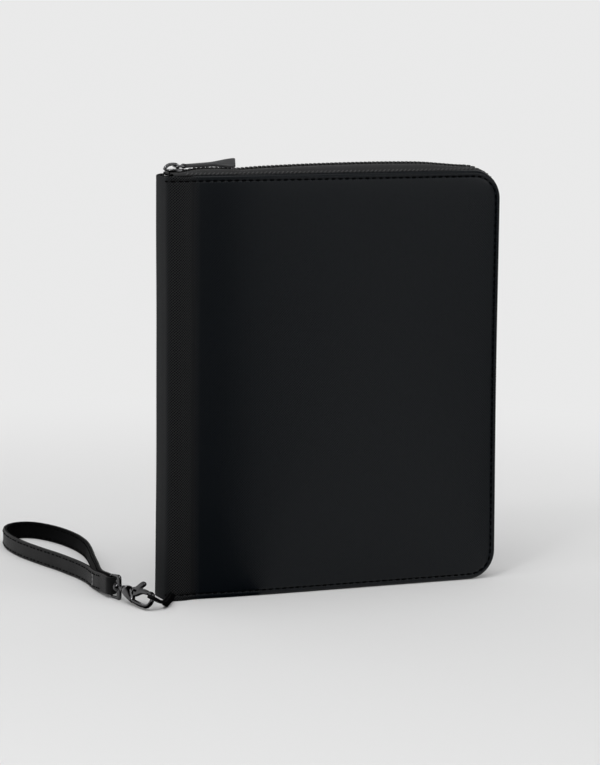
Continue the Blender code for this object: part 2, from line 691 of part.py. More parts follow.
def build():
    clear_scene()
    black, soft_black = (0.012, 0.013, 0.014), (0.008, 0.008, 0.009)
    cloth, metal = (0.03, 0.031, 0.034), (0.16, 0.16, 0.17)
    front_fold, back_fold = (FOLD_X, -HALF, 0.0), (FOLD_X, HALF, 0.0)

    for word, side, fold in (("front", -1, front_fold), ("back", 1, back_fold)):
        make(f"{word}_cover", cover_shell(side), look(f"{word}_cover_leather", black, 0.5), fold, True)
        depth = LEATHER + GAP
        make(f"{word}_padding", cover_layer(side, depth, PADDING), look(f"{word}_foam", (0.2, 0.2, 0.2), 0.9), fold)
        depth += PADDING + GAP
        make(f"{word}_board", cover_layer(side, depth, BOARD), look(f"{word}_card", (0.18, 0.15, 0.11), 0.9), fold)
        depth += BOARD + GAP
        make(f"{word}_lining", cover_layer(side, depth, LINING), look(f"{word}_lining_cloth", cloth, 0.8), fold)
        make(f"{word}_zip_tape", tape(side), look(f"{word}_tape_cloth", (0.02, 0.02, 0.022), 0.75), fold, True)

    skip = math.ceil((TAPE_START - CHAIN_START) / TOOTH_PITCH)
    count = int(ZIP_RUN / TOOTH_PITCH)
    plastic = (0.01, 0.01, 0.011)
    make("back_zip_teeth", teeth(1, 0, count), look("back_teeth_plastic", plastic, 0.35), back_fold)
    make("front_zip_teeth", teeth(-1, skip + 0.5, count - 0.5), look("front_teeth_plastic", plastic, 0.35), front_fold)
    stop_x = (TAPE_START - 4.0, TAPE_START - 0.4)
    make("zip_foot_stop", block(stop_x, (-2.4, 2.4), (0.5, 3.0)), look("stop_metal", metal, 0.35, 1.0), back_fold)

    spine = make("spine_wrap", spine_shell(HALF - SPINE_WALL, HALF, 0.0, CASE_HEIGHT, 0.6),
                 look("spine_leather", black, 0.5), smooth=True)
    edge = HALF - SPINE_WALL - GAP
    inside = make("spine_lining", spine_shell(edge - SPINE_LINING, edge, 1.0, CASE_HEIGHT - 9.0, 0.2),
                  look("spine_lining_cloth", cloth, 0.8), smooth=True)
    notch = helper("loop_notch", loop_notch())
    combine(spine, notch, "DIFFERENCE")
    combine(inside, notch, "DIFFERENCE")
    make("strap_loop_tab", loop_strip(), look("tab_leather", soft_black, 0.5), smooth=True)

    plate = make("slider_body", slider_plate(1), look("slider_metal", metal, 0.3, 1.0), tuple(SEAT))
    combine(plate, helper("slider_crown", slider_crown()), "UNION")
    make("slider_base", slider_plate(-1), look("slider_base_metal", metal, 0.3, 1.0), tuple(SEAT))
    pivot = on_slider(LINK_U, 0.0, LINK_V)
    make("pull_link", link_wire(), look("link_metal", metal, 0.28, 1.0), pivot, True)
    pin, _, _ = tab_frame()
    tab = make("pull_tab", tab_eye(), look("pull_leather", (0.09, 0.09, 0.095), 0.45), tuple(pin), True)
    combine(tab, helper("pull_blade", tab_blade()), "UNION")

    nose = tuple(NOSE)
    hook = make("hook_body", hook_barrel(), look("hook_metal", metal, 0.3, 1.0), nose, True)
    combine(hook, helper("hook_nose", hook_bar()), "UNION")
    combine(hook, helper("gate_slot", clasp_block(GATE_SLOT, (SLOT_FLOOR, 14.0), (-GATE_HALF - GAP, GATE_HALF + GAP))),
            "DIFFERENCE")
    bore = helper("pin_bore", pivot_rod(PIN_R + GAP, 9.0))
    combine(hook, bore, "DIFFERENCE")
    combine(hook, helper("swivel_seat", seat_cutter()), "DIFFERENCE")
    turn = tuple(on_clasp(*GATE_PIVOT))
    gate = make("hook_gate", gate_plate(), look("gate_metal", metal, 0.28, 1.0), turn)
    combine(gate, bore, "DIFFERENCE")
    make("gate_pin", pivot_rod(PIN_R, 2.2), look("pin_metal", metal, 0.3, 1.0), turn, True)
    make("gate_spring", clasp_block((13.8, 16.0), (SLOT_FLOOR + GAP, SLOT_FLOOR + GAP + 0.4), (-0.9, 0.9)), look("spring_steel", metal, 0.3, 1.0), nose)
    swivel = make("strap_ring", ring_wire(), look("ring_metal", metal, 0.28, 1.0), nose, True)
    combine(swivel, helper("swivel_stem", stem_shape()), "UNION")
    far = tuple(NOSE + BACK * (RING_FRONT + RING_LENGTH))
    make("strap_band", strap_layer(0.0, STRAP_BAND), look("strap_leather", black, 0.5), far, True)
    deep = STRAP_BAND / 2 + 0.2 + STRAP_LINING / 2
    make("strap_lining", strap_layer(deep, STRAP_LINING), look("strap_lining_leather", soft_black, 0.7), far, True)

    side, fore, low = COVER_X0 + FITTING_SIDE, COVER_X1 - FITTING_FORE, FITTING_FOOT
    y = -INNER + GAP
    make("slip_pocket", panel((side, fore), (low, CASE_HEIGHT - SLIP_DROP), y, POCKET, SLIP_DIP),
         look("pocket_cloth", cloth, 0.8), front_fold)
    y += POCKET + GAP
    cards = (side + SLIP_DIP, side + SLIP_DIP + CARD_WIDTH)
    make("card_pocket_upper", panel(cards, (low, low + CARD_LOW + CARD_STEP), y, CARD_CLOTH, 4.0),
         look("card_cloth", cloth, 0.8), front_fold)
    y += CARD_CLOTH + GAP
    make("card_pocket_lower", panel(cards, (low, low + CARD_LOW), y, CARD_CLOTH, 4.0),
         look("card_cloth_low", cloth, 0.8), front_fold)
    pen_x, pen_z = COVER_X1 - PEN_FORE, CASE_HEIGHT - PEN_DROP
    make("pen_loop", pen_loop((pen_x - PEN_WIDTH, pen_x), (pen_z - PEN_LENGTH, pen_z)),
         look("pen_elastic", soft_black, 0.7), front_fold, True)
    run = (side + BAND_INSET, fore - BAND_INSET)
    for word, z in (("upper", CASE_HEIGHT - BAND_DROP), ("lower", CASE_HEIGHT - BAND_DROP - BAND_STEP)):
        make(f"cable_band_{word}", cable_band(run, (z - BAND_WIDTH, z)),
             look(f"cable_elastic_{word}", soft_black, 0.7), back_fold)
    y, z = INNER - GAP - MESH, CASE_HEIGHT - BAND_DROP - BAND_STEP - BAND_WIDTH - MESH_DROP
    make("mesh_pocket", panel((side, fore), (low, z), y, MESH), look("mesh_net", soft_black, 0.8), back_fold)
    make("mesh_pocket_binding", block((side, fore), (y - CARD_CLOTH, y + MESH), (z + GAP, z + GAP + BINDING)),
         look("binding_cloth", cloth, 0.7), back_fold)


build()
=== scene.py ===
# %% [markdown]
# A zip-around leather organizer, standing closed, with its wrist strap on the floor beside it.
# Every shape is worked out with numpy in millimetres and put into a mesh in metres.
# The imported solids are the frame: each new piece but the covers and their seams rides on one of its bodies.

# %% Load the frame
import math

import bmesh
import bpy
import numpy as np
from mathutils import Matrix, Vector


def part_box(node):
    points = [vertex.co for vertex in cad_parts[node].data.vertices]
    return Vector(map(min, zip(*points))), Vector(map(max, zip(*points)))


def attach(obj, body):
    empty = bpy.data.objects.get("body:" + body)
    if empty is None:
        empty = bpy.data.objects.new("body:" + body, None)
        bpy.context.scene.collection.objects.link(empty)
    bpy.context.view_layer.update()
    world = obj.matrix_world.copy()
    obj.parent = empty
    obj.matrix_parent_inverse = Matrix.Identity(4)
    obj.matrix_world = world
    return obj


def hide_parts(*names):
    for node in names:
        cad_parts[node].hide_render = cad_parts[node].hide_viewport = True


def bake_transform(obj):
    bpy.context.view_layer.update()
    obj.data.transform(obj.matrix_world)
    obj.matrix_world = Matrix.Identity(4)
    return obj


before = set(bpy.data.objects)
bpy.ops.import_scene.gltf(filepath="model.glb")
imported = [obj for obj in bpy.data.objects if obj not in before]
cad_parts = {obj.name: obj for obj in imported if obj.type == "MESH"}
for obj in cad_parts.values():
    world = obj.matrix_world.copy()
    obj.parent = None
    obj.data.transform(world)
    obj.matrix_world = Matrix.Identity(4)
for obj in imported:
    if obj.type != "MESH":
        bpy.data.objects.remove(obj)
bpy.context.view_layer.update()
MM = 0.001

# %% [markdown]
# The camera stands a metre and a half in front and to the left, a little above the case.
# Its place and its long lens come from fitting the case's straight edges in the picture.
# The image is taken as 600 by 765, so the 36 mm sensor lies along the height.

# %% Camera
CAMERA_PLACE, YAW, DIP, ROLL = (-546.2, -1510.0, 330.2), 22.586, 7.512, -0.410
SENSOR, PICTURE_HEIGHT, LENS_PIXELS = 36.0, 765, 3003.84


def placed(name, data):
    """An object of the scene that holds a mesh, a lamp or the camera."""
    item = bpy.data.objects.new(name, data)
    bpy.context.scene.collection.objects.link(item)
    return item


def facing(place, right, up, ahead):
    """The place of a camera or lamp: its x axis goes right, its y axis up, and it looks along ahead."""
    turn = Matrix((right.tolist(), up.tolist(), (-ahead).tolist())).transposed().to_4x4()
    return Matrix.Translation(place) @ turn


def set_camera():
    """Axes from three angles: forward is turned by yaw and dipped, then right and down are rolled."""
    y, p, r = np.radians([YAW, DIP, ROLL])
    forward = np.array([np.sin(y) * np.cos(p), np.cos(y) * np.cos(p), -np.sin(p)])
    level = np.array([np.cos(y), -np.sin(y), 0.0])
    down = np.cross(forward, level)
    right = np.cos(r) * level + np.sin(r) * down
    down = -np.sin(r) * level + np.cos(r) * down
    data = bpy.data.cameras.new("camera")
    data.sensor_fit, data.sensor_width, data.lens = "AUTO", SENSOR, SENSOR * LENS_PIXELS / PICTURE_HEIGHT
    data.clip_start, data.clip_end = 0.05, 100.0
    item = placed("camera", data)
    item.matrix_world = facing([c * MM for c in CAMERA_PLACE], right, -down, forward)
    bpy.context.scene.camera = item
    return item


camera = set_camera()
print("lens", round(camera.data.lens, 1), "mm")

# %% [markdown]
# All pieces are grids of points that follow smooth lines, so a few helpers do for the whole object.
# The helpers for lines and numbers come first.

# %% Lines and numbers
def smooth(low, high, x):
    """A soft step from 0 at low to 1 at high, 3t^2 - 2t^3."""
    t = np.clip((np.asarray(x, float) - low) / (high - low), 0, 1)
    return t * t * (3 - 2 * t)


def through(knots, values, x):
    """A smooth line through values at knots: cubic pieces that share the slope of each knot's neighbours."""
    knots, values, x = np.asarray(knots, float), np.asarray(values, float), np.asarray(x, float)
    if values.ndim == 1:
        return through(knots, values[:, None], x)[..., 0]
    slope = np.gradient(values, knots, axis=0)
    i = np.clip(np.searchsorted(knots, x, "right") - 1, 0, len(knots) - 2)
    h = (knots[i + 1] - knots[i])[..., None]
    t = np.clip((x - knots[i])[..., None] / h, 0, 1)
    return ((1 + 2 * t) * (1 - t) ** 2 * values[i] + t * (1 - t) ** 2 * h * slope[i]
            + t * t * (3 - 2 * t) * values[i + 1] + t * t * (t - 1) * h * slope[i + 1])


def read_off(table, x):
    """A smooth line through a table of (place, value) pairs, read at x."""
    return through(*np.array(table).T, x)


def unit(v):
    """Vectors divided by their length."""
    return v / np.maximum(np.linalg.norm(v, axis=-1, keepdims=True), 1e-12)


def angles(count):
    """Even angles round a circle."""
    return np.arange(count) * 2 * np.pi / count


def rounded(count, power):
    """Cosine and sine of even angles, raised so that the circle becomes a rounded square."""
    a = angles(count)
    return tuple(np.sign(f) * np.abs(f) ** (2 / power) for f in (np.cos(a), np.sin(a)))


def dome(e, width):
    """A rounded edge: a quarter circle from 0 at the edge to 1 at width from it."""
    return np.sqrt(np.clip(1 - (1 - np.clip(e / width, 0, 1)) ** 2, 0, 1))


def lengths(path):
    """How far along a path each of its points is."""
    return np.concatenate([[0], np.cumsum(np.linalg.norm(np.diff(path, axis=0), axis=1))])


def lattice(*parts):
    """Coordinates spread out to one grid, and stacked into its points."""
    return np.stack(np.broadcast_arrays(*parts), -1)


# %% [markdown]
# A shape is its points, its faces and, where a pattern follows it, a flat map of it. A grid's cells are its
# faces, a tube is a grid that closes round, and a shell is two grids joined at their rims.
# One function turns a shape into an object, gives it its finish and ties it to the frame.

# %% Grids and pieces
def cells(rows, columns, round_rows=False, round_columns=False):
    """Corner numbers of each cell of a grid, four to a cell."""
    i = np.arange(rows if round_rows else rows - 1)[:, None]
    j = np.arange(columns if round_columns else columns - 1)[None, :]
    k, m = (i + 1) % rows, (j + 1) % columns
    return lattice(i * columns + j, k * columns + j, k * columns + m, i * columns + m).reshape(-1, 4)


def tube(rings, closed=False):
    """Rings of points joined in order, with a flat cap on each end unless the rings run in a circle."""
    rows, columns = rings.shape[:2]
    faces = cells(rows, columns, closed, True).tolist()
    if not closed:
        faces += [list(range(columns)), list(range((rows - 1) * columns, rows * columns))]
    return rings.reshape(-1, 3), faces, None


def shell(outer, inner, uv):
    """Two grids of one size joined round their four sides, so that they hold a wall between them."""
    rows, columns = outer.shape[:2]
    count = rows * columns
    number = np.arange(count).reshape(rows, columns)
    rim = np.concatenate([number[0, :-1], number[:-1, -1], number[-1, :0:-1], number[:0:-1, 0]])
    ahead = np.roll(rim, -1)
    face = cells(rows, columns)
    wall = np.stack([rim, ahead, ahead + count, rim + count], -1)
    points = np.concatenate([outer.reshape(-1, 3), inner.reshape(-1, 3)])
    flat = uv.reshape(-1, 2)
    return points, np.concatenate([face, face[:, ::-1] + count, wall]).tolist(), np.concatenate([flat, flat])


def copies(rings, places, axes):
    """One small tube at many places: local (a, b, c) becomes place + a, b and c times the three axes."""
    rows, columns = rings.shape[:2]
    points = places[:, None, None] + np.einsum("rck,nkd->nrcd", rings, axes)
    _, faces, _ = tube(rings)
    step = np.arange(len(places)) * rows * columns
    quads = np.array(faces[:-2])[None] + step[:, None, None]
    caps = np.array(faces[-2:])[None] + step[:, None, None]
    return points.reshape(-1, 3), quads.reshape(-1, 4).tolist() + caps.reshape(-1, columns).tolist(), None


def joined(*shapes):
    """Several shapes as one mesh, each one's corner numbers moved past the last."""
    points, faces, start = [], [], 0
    for p, f, _ in shapes:
        points.append(p)
        faces += [[start + i for i in face] for face in f]
        start += len(p)
    return np.concatenate(points), faces, None


def piece(name, shape, finish, body=None, stands_for=(), sharp=40.0):
    """One object, its place in its mesh, faces outwards; it rides on a body and stands for CAD nodes."""
    points, faces, uv = shape
    mesh = bpy.data.meshes.new(name)
    mesh.from_pydata((np.asarray(points) * MM).tolist(), [], faces)
    if uv is not None:
        corner = np.zeros(len(mesh.loops), np.int32)
        mesh.loops.foreach_get("vertex_index", corner)
        layer = mesh.uv_layers.new(name="along")
        layer.data.foreach_set("uv", (np.asarray(uv) * MM)[corner].astype(np.float32).ravel())
    work = bmesh.new()
    work.from_mesh(mesh)
    bmesh.ops.recalc_face_normals(work, faces=work.faces)
    work.to_mesh(mesh)
    work.free()
    mesh.shade_smooth()
    mesh.set_sharp_from_angle(angle=math.radians(sharp))
    mesh.materials.append(finish)
    item = placed(name, mesh)
    if body:
        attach(item, body)
    if stands_for:
        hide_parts(*stands_for)
    print(f"{name}: {len(mesh.vertices)} points, {len(mesh.polygons)} faces")
    return item


# %% [markdown]
# Patterns are worked out by Math nodes. A few helpers set such nodes down, so that a pattern reads like a
# formula.

# %% Node helpers
def wire(tree, value, socket):
    """Puts a number or a colour, or another node's output, on a socket."""
    if isinstance(value, (int, float, tuple)):
        socket.default_value = value
    else:
        tree.links.new(value, socket)


def calc(tree, operation, *values):
    """One Math node on numbers or outputs."""
    node = tree.nodes.new("ShaderNodeMath")
    node.operation = operation
    for value, socket in zip(values, node.inputs):
        wire(tree, value, socket)
    return node.outputs[0]


def times(tree, a, b):
    """a times b."""
    return calc(tree, "MULTIPLY", a, b)


def less(tree, a):
    """One minus a."""
    return calc(tree, "SUBTRACT", 1.0, a)


def reach(tree, x, y):
    """The root of x squared plus y squared."""
    return calc(tree, "POWER", calc(tree, "ADD", times(tree, x, x), times(tree, y, y)), 0.5)


def soft_step(tree, value, low, high):
    """A soft step of a value from 0 at low to 1 at high."""
    ramp = tree.nodes.new("ShaderNodeMapRange")
    ramp.interpolation_type = "SMOOTHSTEP"
    ramp.inputs["From Min"].default_value, ramp.inputs["From Max"].default_value = low, high
    tree.links.new(value, ramp.inputs["Value"])
    return ramp.outputs["Result"]


def noise(tree, vector, scale, detail=2.0, rough=0.5):
    """Soft noise from 0 to 1 with so many waves to a metre."""
    node = tree.nodes.new("ShaderNodeTexNoise")
    node.inputs["Detail"].default_value, node.inputs["Roughness"].default_value = detail, rough
    tree.links.new(vector, node.inputs["Vector"])
    wire(tree, scale, node.inputs["Scale"])
    return node.outputs["Fac"]


def split(tree, vector):
    """A vector's three numbers."""
    node = tree.nodes.new("ShaderNodeSeparateXYZ")
    tree.links.new(vector, node.inputs[0])
    return node.outputs


def tinted(tree, factor, under, over):
    """A colour that goes from under to over with the factor; each is a colour or an output."""
    node = tree.nodes.new("ShaderNodeMix")
    node.data_type = "RGBA"
    for label, value in (("Factor", factor), ("A", under), ("B", over)):
        wire(tree, value, node.inputs[label])
    return node.outputs["Result"]


# %% [markdown]
# The leather has a pressed cross-hatch grain: two sets of fine diagonal ridges about a millimetre apart.
# It is wanted on the covers, the strap and the loop, so it is a node group that puts out a height.
# The woven cloths share a second group, and a third gives slow unevenness and fine dust.

# %% Shared effects
DIAGONAL, RIDGE_POWER, BEND_SCALE, BEND_BY = 0.7071, 4.0, 420.0, 0.0005
DUST_SCALE, DUST_LEVEL, DUST_COVER = 2600.0, 0.76, 0.6


def effect(name, inputs, outputs):
    """An empty node group that takes a vector and some numbers, and its inner ends."""
    tree = bpy.data.node_groups.new(name, "ShaderNodeTree")
    tree.interface.new_socket("Vector", in_out="INPUT", socket_type="NodeSocketVector")
    for label, value in inputs.items():
        socket = tree.interface.new_socket(label, in_out="INPUT", socket_type="NodeSocketFloat")
        socket.default_value = value
    for label in outputs:
        tree.interface.new_socket(label, in_out="OUTPUT", socket_type="NodeSocketFloat")
    return tree, tree.nodes.new("NodeGroupInput").outputs, tree.nodes.new("NodeGroupOutput").inputs


def hatch_group():
    """Height of the pressed grain: the larger of two crossed diagonal waves, each a sine raised to a power.

    A little noise bends the waves, and the first set of ridges stands higher than the second.
    """
    tree, given, wanted = effect("cross_hatch_grain", {"Pitch": 0.001}, ["Height"])
    x, y, _ = split(tree, given["Vector"])
    bend = times(tree, calc(tree, "SUBTRACT", noise(tree, given["Vector"], BEND_SCALE), 0.5), BEND_BY)
    turns = calc(tree, "DIVIDE", 2 * math.pi, given["Pitch"])
    waves = []
    for sign in ("ADD", "SUBTRACT"):
        run = calc(tree, "ADD", times(tree, calc(tree, sign, x, y), DIAGONAL), bend)
        wave = calc(tree, "SINE", times(tree, run, turns))
        waves.append(calc(tree, "POWER", calc(tree, "MULTIPLY_ADD", wave, 0.5, 0.5), RIDGE_POWER))
    high = calc(tree, "MAXIMUM", *waves)
    wire(tree, times(tree, high, calc(tree, "MULTIPLY_ADD", waves[0], 0.3, 0.7)), wanted["Height"])
    return tree


def weave_group():
    """Height of a cloth: upright ribs, a sine without its sign, mixed with the diagonal waves of a twill."""
    tree, given, wanted = effect("weave", {"Pitch": 0.0006, "Ribs": 0.5}, ["Height"])
    x, y, _ = split(tree, given["Vector"])
    turns = calc(tree, "DIVIDE", 2 * math.pi, given["Pitch"])
    across, along = (times(tree, v, turns) for v in (x, y))
    twill = calc(tree, "MULTIPLY_ADD", calc(tree, "SINE", calc(tree, "ADD", across, along)), 0.5, 0.5)
    ribs = calc(tree, "ABSOLUTE", calc(tree, "SINE", times(tree, across, 0.5)))
    diagonal = times(tree, twill, less(tree, given["Ribs"]))
    wire(tree, calc(tree, "ADD", times(tree, ribs, given["Ribs"]), diagonal), wanted["Height"])
    return tree


def handling_group():
    """A slow cloudiness and rare specks of dust, both from 0 to 1, for colour and roughness."""
    tree, given, wanted = effect("handling", {"Scale": 40.0}, ["Cloud", "Dust"])
    wire(tree, noise(tree, given["Vector"], given["Scale"], 4.0, 0.6), wanted["Cloud"])
    speck = calc(tree, "GREATER_THAN", noise(tree, given["Vector"], DUST_SCALE, 1.0), DUST_LEVEL)
    wire(tree, times(tree, speck, DUST_COVER), wanted["Dust"])
    return tree


HATCH, WEAVE, HANDLING = hatch_group(), weave_group(), handling_group()
print("effects:", HATCH.name, WEAVE.name, HANDLING.name)

# %% [markdown]
# A finish is one Principled shader. Its colour and roughness vary with the cloudiness, and its bump comes
# from the grain or the weave. What is the same all over is set on the shader's own sockets.
# Beside the spine the cover's leather is duller. There its grain's ridges are painted paler, a painted
# highlight, and its furrows are kept black by a dark metallic that takes their shine, a painted shade.

# %% How a finish is made
DUST_TONE, RIDGE_SHINE, FINE_NOISE = 0.16, 0.08, 1500.0


def set_group(tree, group, vector, **values):
    """A node group set down with its own values; gives its outputs."""
    node = tree.nodes.new("ShaderNodeGroup")
    node.node_tree = group
    tree.links.new(vector, node.inputs["Vector"])
    for label, value in values.items():
        node.inputs[label].default_value = value
    return node.outputs


def finish(name, colour, rough, specular, depth, metallic=0.0, spread=0.12, vary=0.25, pattern=None,
           pattern_sizes=None, strength=0.5, on_uv=False, dust=0.0, sheen=0.0, slow=40.0, matt=None,
           painted_ridge_highlight=None):
    """A material: colour and roughness times a slow cloud, and a bump of the given depth in metres.

    matt names a stretch of the unrolled length, from and to, over which an added roughness fades out.
    painted_ridge_highlight names four lengths between which the pattern's ridges are painted paler, a painted
    highlight, and fade again, and their tone. A black metal keeps the shine out of the furrows there,
    a painted shade.
    """
    material = bpy.data.materials.new(name)
    material.use_nodes = True
    tree = material.node_tree
    shader = tree.nodes["Principled BSDF"].inputs
    place = tree.nodes.new("ShaderNodeTexCoord").outputs
    wear = set_group(tree, HANDLING, place["Object"], Scale=slow)
    tone = tinted(tree, wear["Cloud"], *((*[c * share for c in colour], 1) for share in (1 - vary, 1 + vary)))
    if dust:
        tone = tinted(tree, times(tree, wear["Dust"], dust), tone, (DUST_TONE, DUST_TONE, DUST_TONE, 1))
    dull = calc(tree, "MULTIPLY_ADD", wear["Cloud"], 2 * spread, rough - spread)
    length = calc(tree, "ABSOLUTE", split(tree, place["UV"])[0])
    if matt:
        dull = calc(tree, "MULTIPLY_ADD", less(tree, soft_step(tree, length, *matt[:2])), matt[2], dull)
    for label, value in (("Metallic", metallic), ("Specular IOR Level", specular), ("Sheen Weight", sheen)):
        shader[label].default_value = value
    if pattern:
        height = set_group(tree, pattern, place["UV" if on_uv else "Object"], **pattern_sizes)["Height"]
        dull = calc(tree, "ADD", dull, calc(tree, "MULTIPLY_ADD", height, -RIDGE_SHINE, RIDGE_SHINE / 2))
    else:
        height = noise(tree, place["Object"], FINE_NOISE)
    # Painted highlight and shade beside the spine: paler ridges, and furrows made black by a dark metallic.
    if painted_ridge_highlight:
        faded = less(tree, soft_step(tree, length, *painted_ridge_highlight[2:4]))
        band = times(tree, soft_step(tree, length, *painted_ridge_highlight[:2]), faded)
        tone = tinted(tree, times(tree, band, height), tone, (painted_ridge_highlight[4], painted_ridge_highlight[4], painted_ridge_highlight[4], 1))
        wire(tree, times(tree, band, less(tree, height)), shader["Metallic"])
    bump = tree.nodes.new("ShaderNodeBump")
    bump.inputs["Strength"].default_value, bump.inputs["Distance"].default_value = strength, depth
    for value, socket in ((height, bump.inputs["Height"]), (bump.outputs["Normal"], shader["Normal"]),
                          (dull, shader["Roughness"]), (tone, shader["Base Color"])):
        tree.links.new(value, socket)
    return material


def pressed(pitch):
    """The settings of a leather whose grain has this pitch in metres."""
    return {"pattern": HATCH, "pattern_sizes": {"Pitch": pitch}}


def woven(pitch, ribs=0.5):
    """The settings of a cloth with this pitch in metres and this share of ribs."""
    return {"pattern": WEAVE, "pattern_sizes": {"Pitch": pitch, "Ribs": ribs}}


print("finishes are made from", len(bpy.data.node_groups), "effects")

# %% [markdown]
# The covers are black leather with a soft shine; the strap, its back and the loop are duller.
# Thread and cloth are matt, the metal is a dark plating, and the zip's teeth are black plastic.

# %% Finishes
SEWING = {"depth": 0.00004, **woven(0.0004, 0.1)}
PLATING = {"specular": 0.5, "depth": 0.000004, "metallic": 1.0, "vary": 0.12, "strength": 0.25, "slow": 120.0}

# The covers' leather carries a painted highlight on the grain's ridges beside the spine, and painted shade in
# its furrows.
leather = finish("black_grained_leather", (0.0018, 0.0029, 0.0042), 0.2, 0.205, 0.00005, strength=0.9,
                 on_uv=True, vary=0.12, spread=0.03, dust=0.02, matt=(0.010, 0.027, 0.5),
                 painted_ridge_highlight=(0.007, 0.013, 0.020, 0.029, 0.030), **pressed(0.00105))
strap_leather = finish("strap_leather", (0.006, 0.006, 0.0064), 0.5, 0.15, 0.00006, strength=0.6, on_uv=True,
                       vary=0.15, spread=0.05, **pressed(0.0008))
strap_back = finish("strap_back_leather", (0.002, 0.002, 0.0022), 0.7, 0.04, 0.00005, strength=0.4, vary=0.2)
loop_leather = finish("loop_leather", (0.002, 0.002, 0.0022), 0.5, 0.07, 0.00006, strength=0.6, vary=0.15,
                      **pressed(0.0008))
thread = finish("black_thread", (0.0012, 0.0012, 0.0013), 0.9, 0.02, strength=0.6, **SEWING)
tape_thread = finish("tape_thread", (0.055, 0.055, 0.056), 0.65, 0.3, strength=0.6, **SEWING)
# A pale grey thread for the strap's cross seam; its paleness is partly a painted highlight on the strap's
# crease.
pale_thread_painted_highlight = finish("grey_thread_painted_highlight", (0.2, 0.2, 0.202), 0.6, 0.3, **SEWING)
tape_cloth = finish("zip_tape_cloth", (0.018, 0.0182, 0.019), 0.78, 0.3, 0.00012, strength=0.8, on_uv=True,
                    sheen=0.05, **woven(0.0007, 0.6))
teeth_plastic = finish("teeth_plastic", (0.004, 0.004, 0.0043), 0.45, 0.2, 0.00001, vary=0.1, strength=0.3)
gunmetal = finish("gunmetal_plating", (0.16, 0.16, 0.165), 0.12, spread=0.04, **PLATING)
black_nickel = finish("black_nickel", (0.09, 0.09, 0.092), 0.12, spread=0.03, **PLATING)
pull_grey = finish("pull_grey", (0.04, 0.0405, 0.042), 0.42, 0.3, 0.00003, vary=0.1, strength=0.35,
                   slow=150.0)
lining_cloth = finish("lining_twill", (0.03, 0.031, 0.034), 0.8, 0.25, 0.0001, strength=0.7, on_uv=True,
                      sheen=0.1, dust=0.05, **woven(0.0008, 0.15))
binding_cloth = finish("binding_cloth", (0.018, 0.018, 0.019), 0.75, 0.3, 0.00012, strength=0.8, on_uv=True,
                       **woven(0.0009, 0.8))
elastic = finish("ribbed_elastic", (0.01, 0.01, 0.011), 0.72, 0.3, 0.0002, strength=0.9, on_uv=True,
                 sheen=0.05, **woven(0.0011, 0.9))
print("finishes:", len(bpy.data.materials))

# %% [markdown]
# Each cover and half of the spine are one piece of leather: it starts at the spine's middle line, goes
# half-way round the soft spine and runs flat to the fore-edge. It is worked out on the unrolled sheet,
# where s is the length from the middle line and z the height.
# A lift moves each point out of or into that sheet.
# The edge is turned over, a seam presses a groove beside it, and the thin padding swells between the seams.

# %% The sheet of a cover
HALF, FOLD_X, HEIGHT, FORE_X, CORNER = 13.5, 12.5, 230.0, 196.4, 16.0
ARC = HALF * math.pi / 2
SHEET = ARC + FORE_X - FOLD_X
COVER, SPINE_WALL = 4.5, 2.0
TURN, SPINE_TURN, TURN_SPAN = 2.0, 0.6, (8, 24)
SEAM, SEAM_WIDE, SEAM_DEEP, SEAM_SPAN = 3.1, 0.5, 0.5, (8, 14)
WAIST, WAIST_AT, WAIST_NEAR, WAIST_FAR = 1.8, 21.0, 10.0, 24.0
FORE_WAIST, FORE_SPAN, RIPPLE = 0.5, 60.0, 0.05
SPINE_POWER, SPINE_DIP, DIP_SPAN, FLARE_SPAN = 4.5, 0.9, (14, 4), (16, 4)
FLARE = [(0, -0.85), (20, -1.2), (60, -1.7), (110, -1.85), (150, -1.8), (200, -1.5), (230, -1.45)]


def on_sheet(s, z, lift, side):
    """A squarish quarter circle up to the fold, then a straight line, moved out by lift.

    The squarish circle is where the sum of two powers, of x and of y over the radius, is one.
    The fore-edge is drawn in a little between its corners, by a squared sine of the height.
    """
    a = np.minimum(s, ARC) / HALF
    drawn = FORE_WAIST * np.sin(np.pi * np.asarray(z) / HEIGHT) ** 2 * smooth(SHEET - FORE_SPAN, SHEET, s)
    r = (HALF + lift) * (np.cos(a) ** SPINE_POWER + np.sin(a) ** SPINE_POWER) ** (-1 / SPINE_POWER)
    x = FOLD_X - r * np.cos(a) + np.maximum(s - ARC, 0) - drawn
    return lattice(x, side * r * np.sin(a), z)


def from_edge(s, z):
    """How far a point of the sheet is from the edge: that of a rectangle with two rounded corners."""
    z = z + SPINE_DIP * smooth(*DIP_SPAN, s) * smooth(HEIGHT / 2, HEIGHT, z)
    p, q = s - (SHEET - CORNER), np.abs(z - HEIGHT / 2) - (HEIGHT / 2 - CORNER)
    return CORNER - np.hypot(np.maximum(p, 0), np.maximum(q, 0)) - np.minimum(np.maximum(p, q), 0)


def spine_flare(s, z):
    """How far the spine's wall stands out at this height, fading out round its corner."""
    return read_off(FLARE, z) * smooth(*FLARE_SPAN, s)


def sheet_lift(s, z):
    """Turned edge (a quarter circle), seam groove (a bell curve), waist beside the spine, and the padding."""
    e = from_edge(s, z)
    turn = SPINE_TURN + (TURN - SPINE_TURN) * smooth(*TURN_SPAN, s)
    inside = np.clip(turn - e, 0, turn)
    turned_edge = np.sqrt(np.maximum(turn ** 2 - inside ** 2, 0)) - turn
    groove = -SEAM_DEEP * np.exp(-((e - SEAM) / SEAM_WIDE) ** 2) * smooth(*SEAM_SPAN, s)
    waist = -WAIST * np.exp(-((s - WAIST_AT) / np.where(s < WAIST_AT, WAIST_NEAR, WAIST_FAR)) ** 2)
    waves = RIPPLE * np.sin(s / 17 + z / 31) * np.sin(z / 23 - s / 41) * smooth(6, 30, e)
    return turned_edge + groove + waist + spine_flare(s, z) + swell(s, z, e) + waves


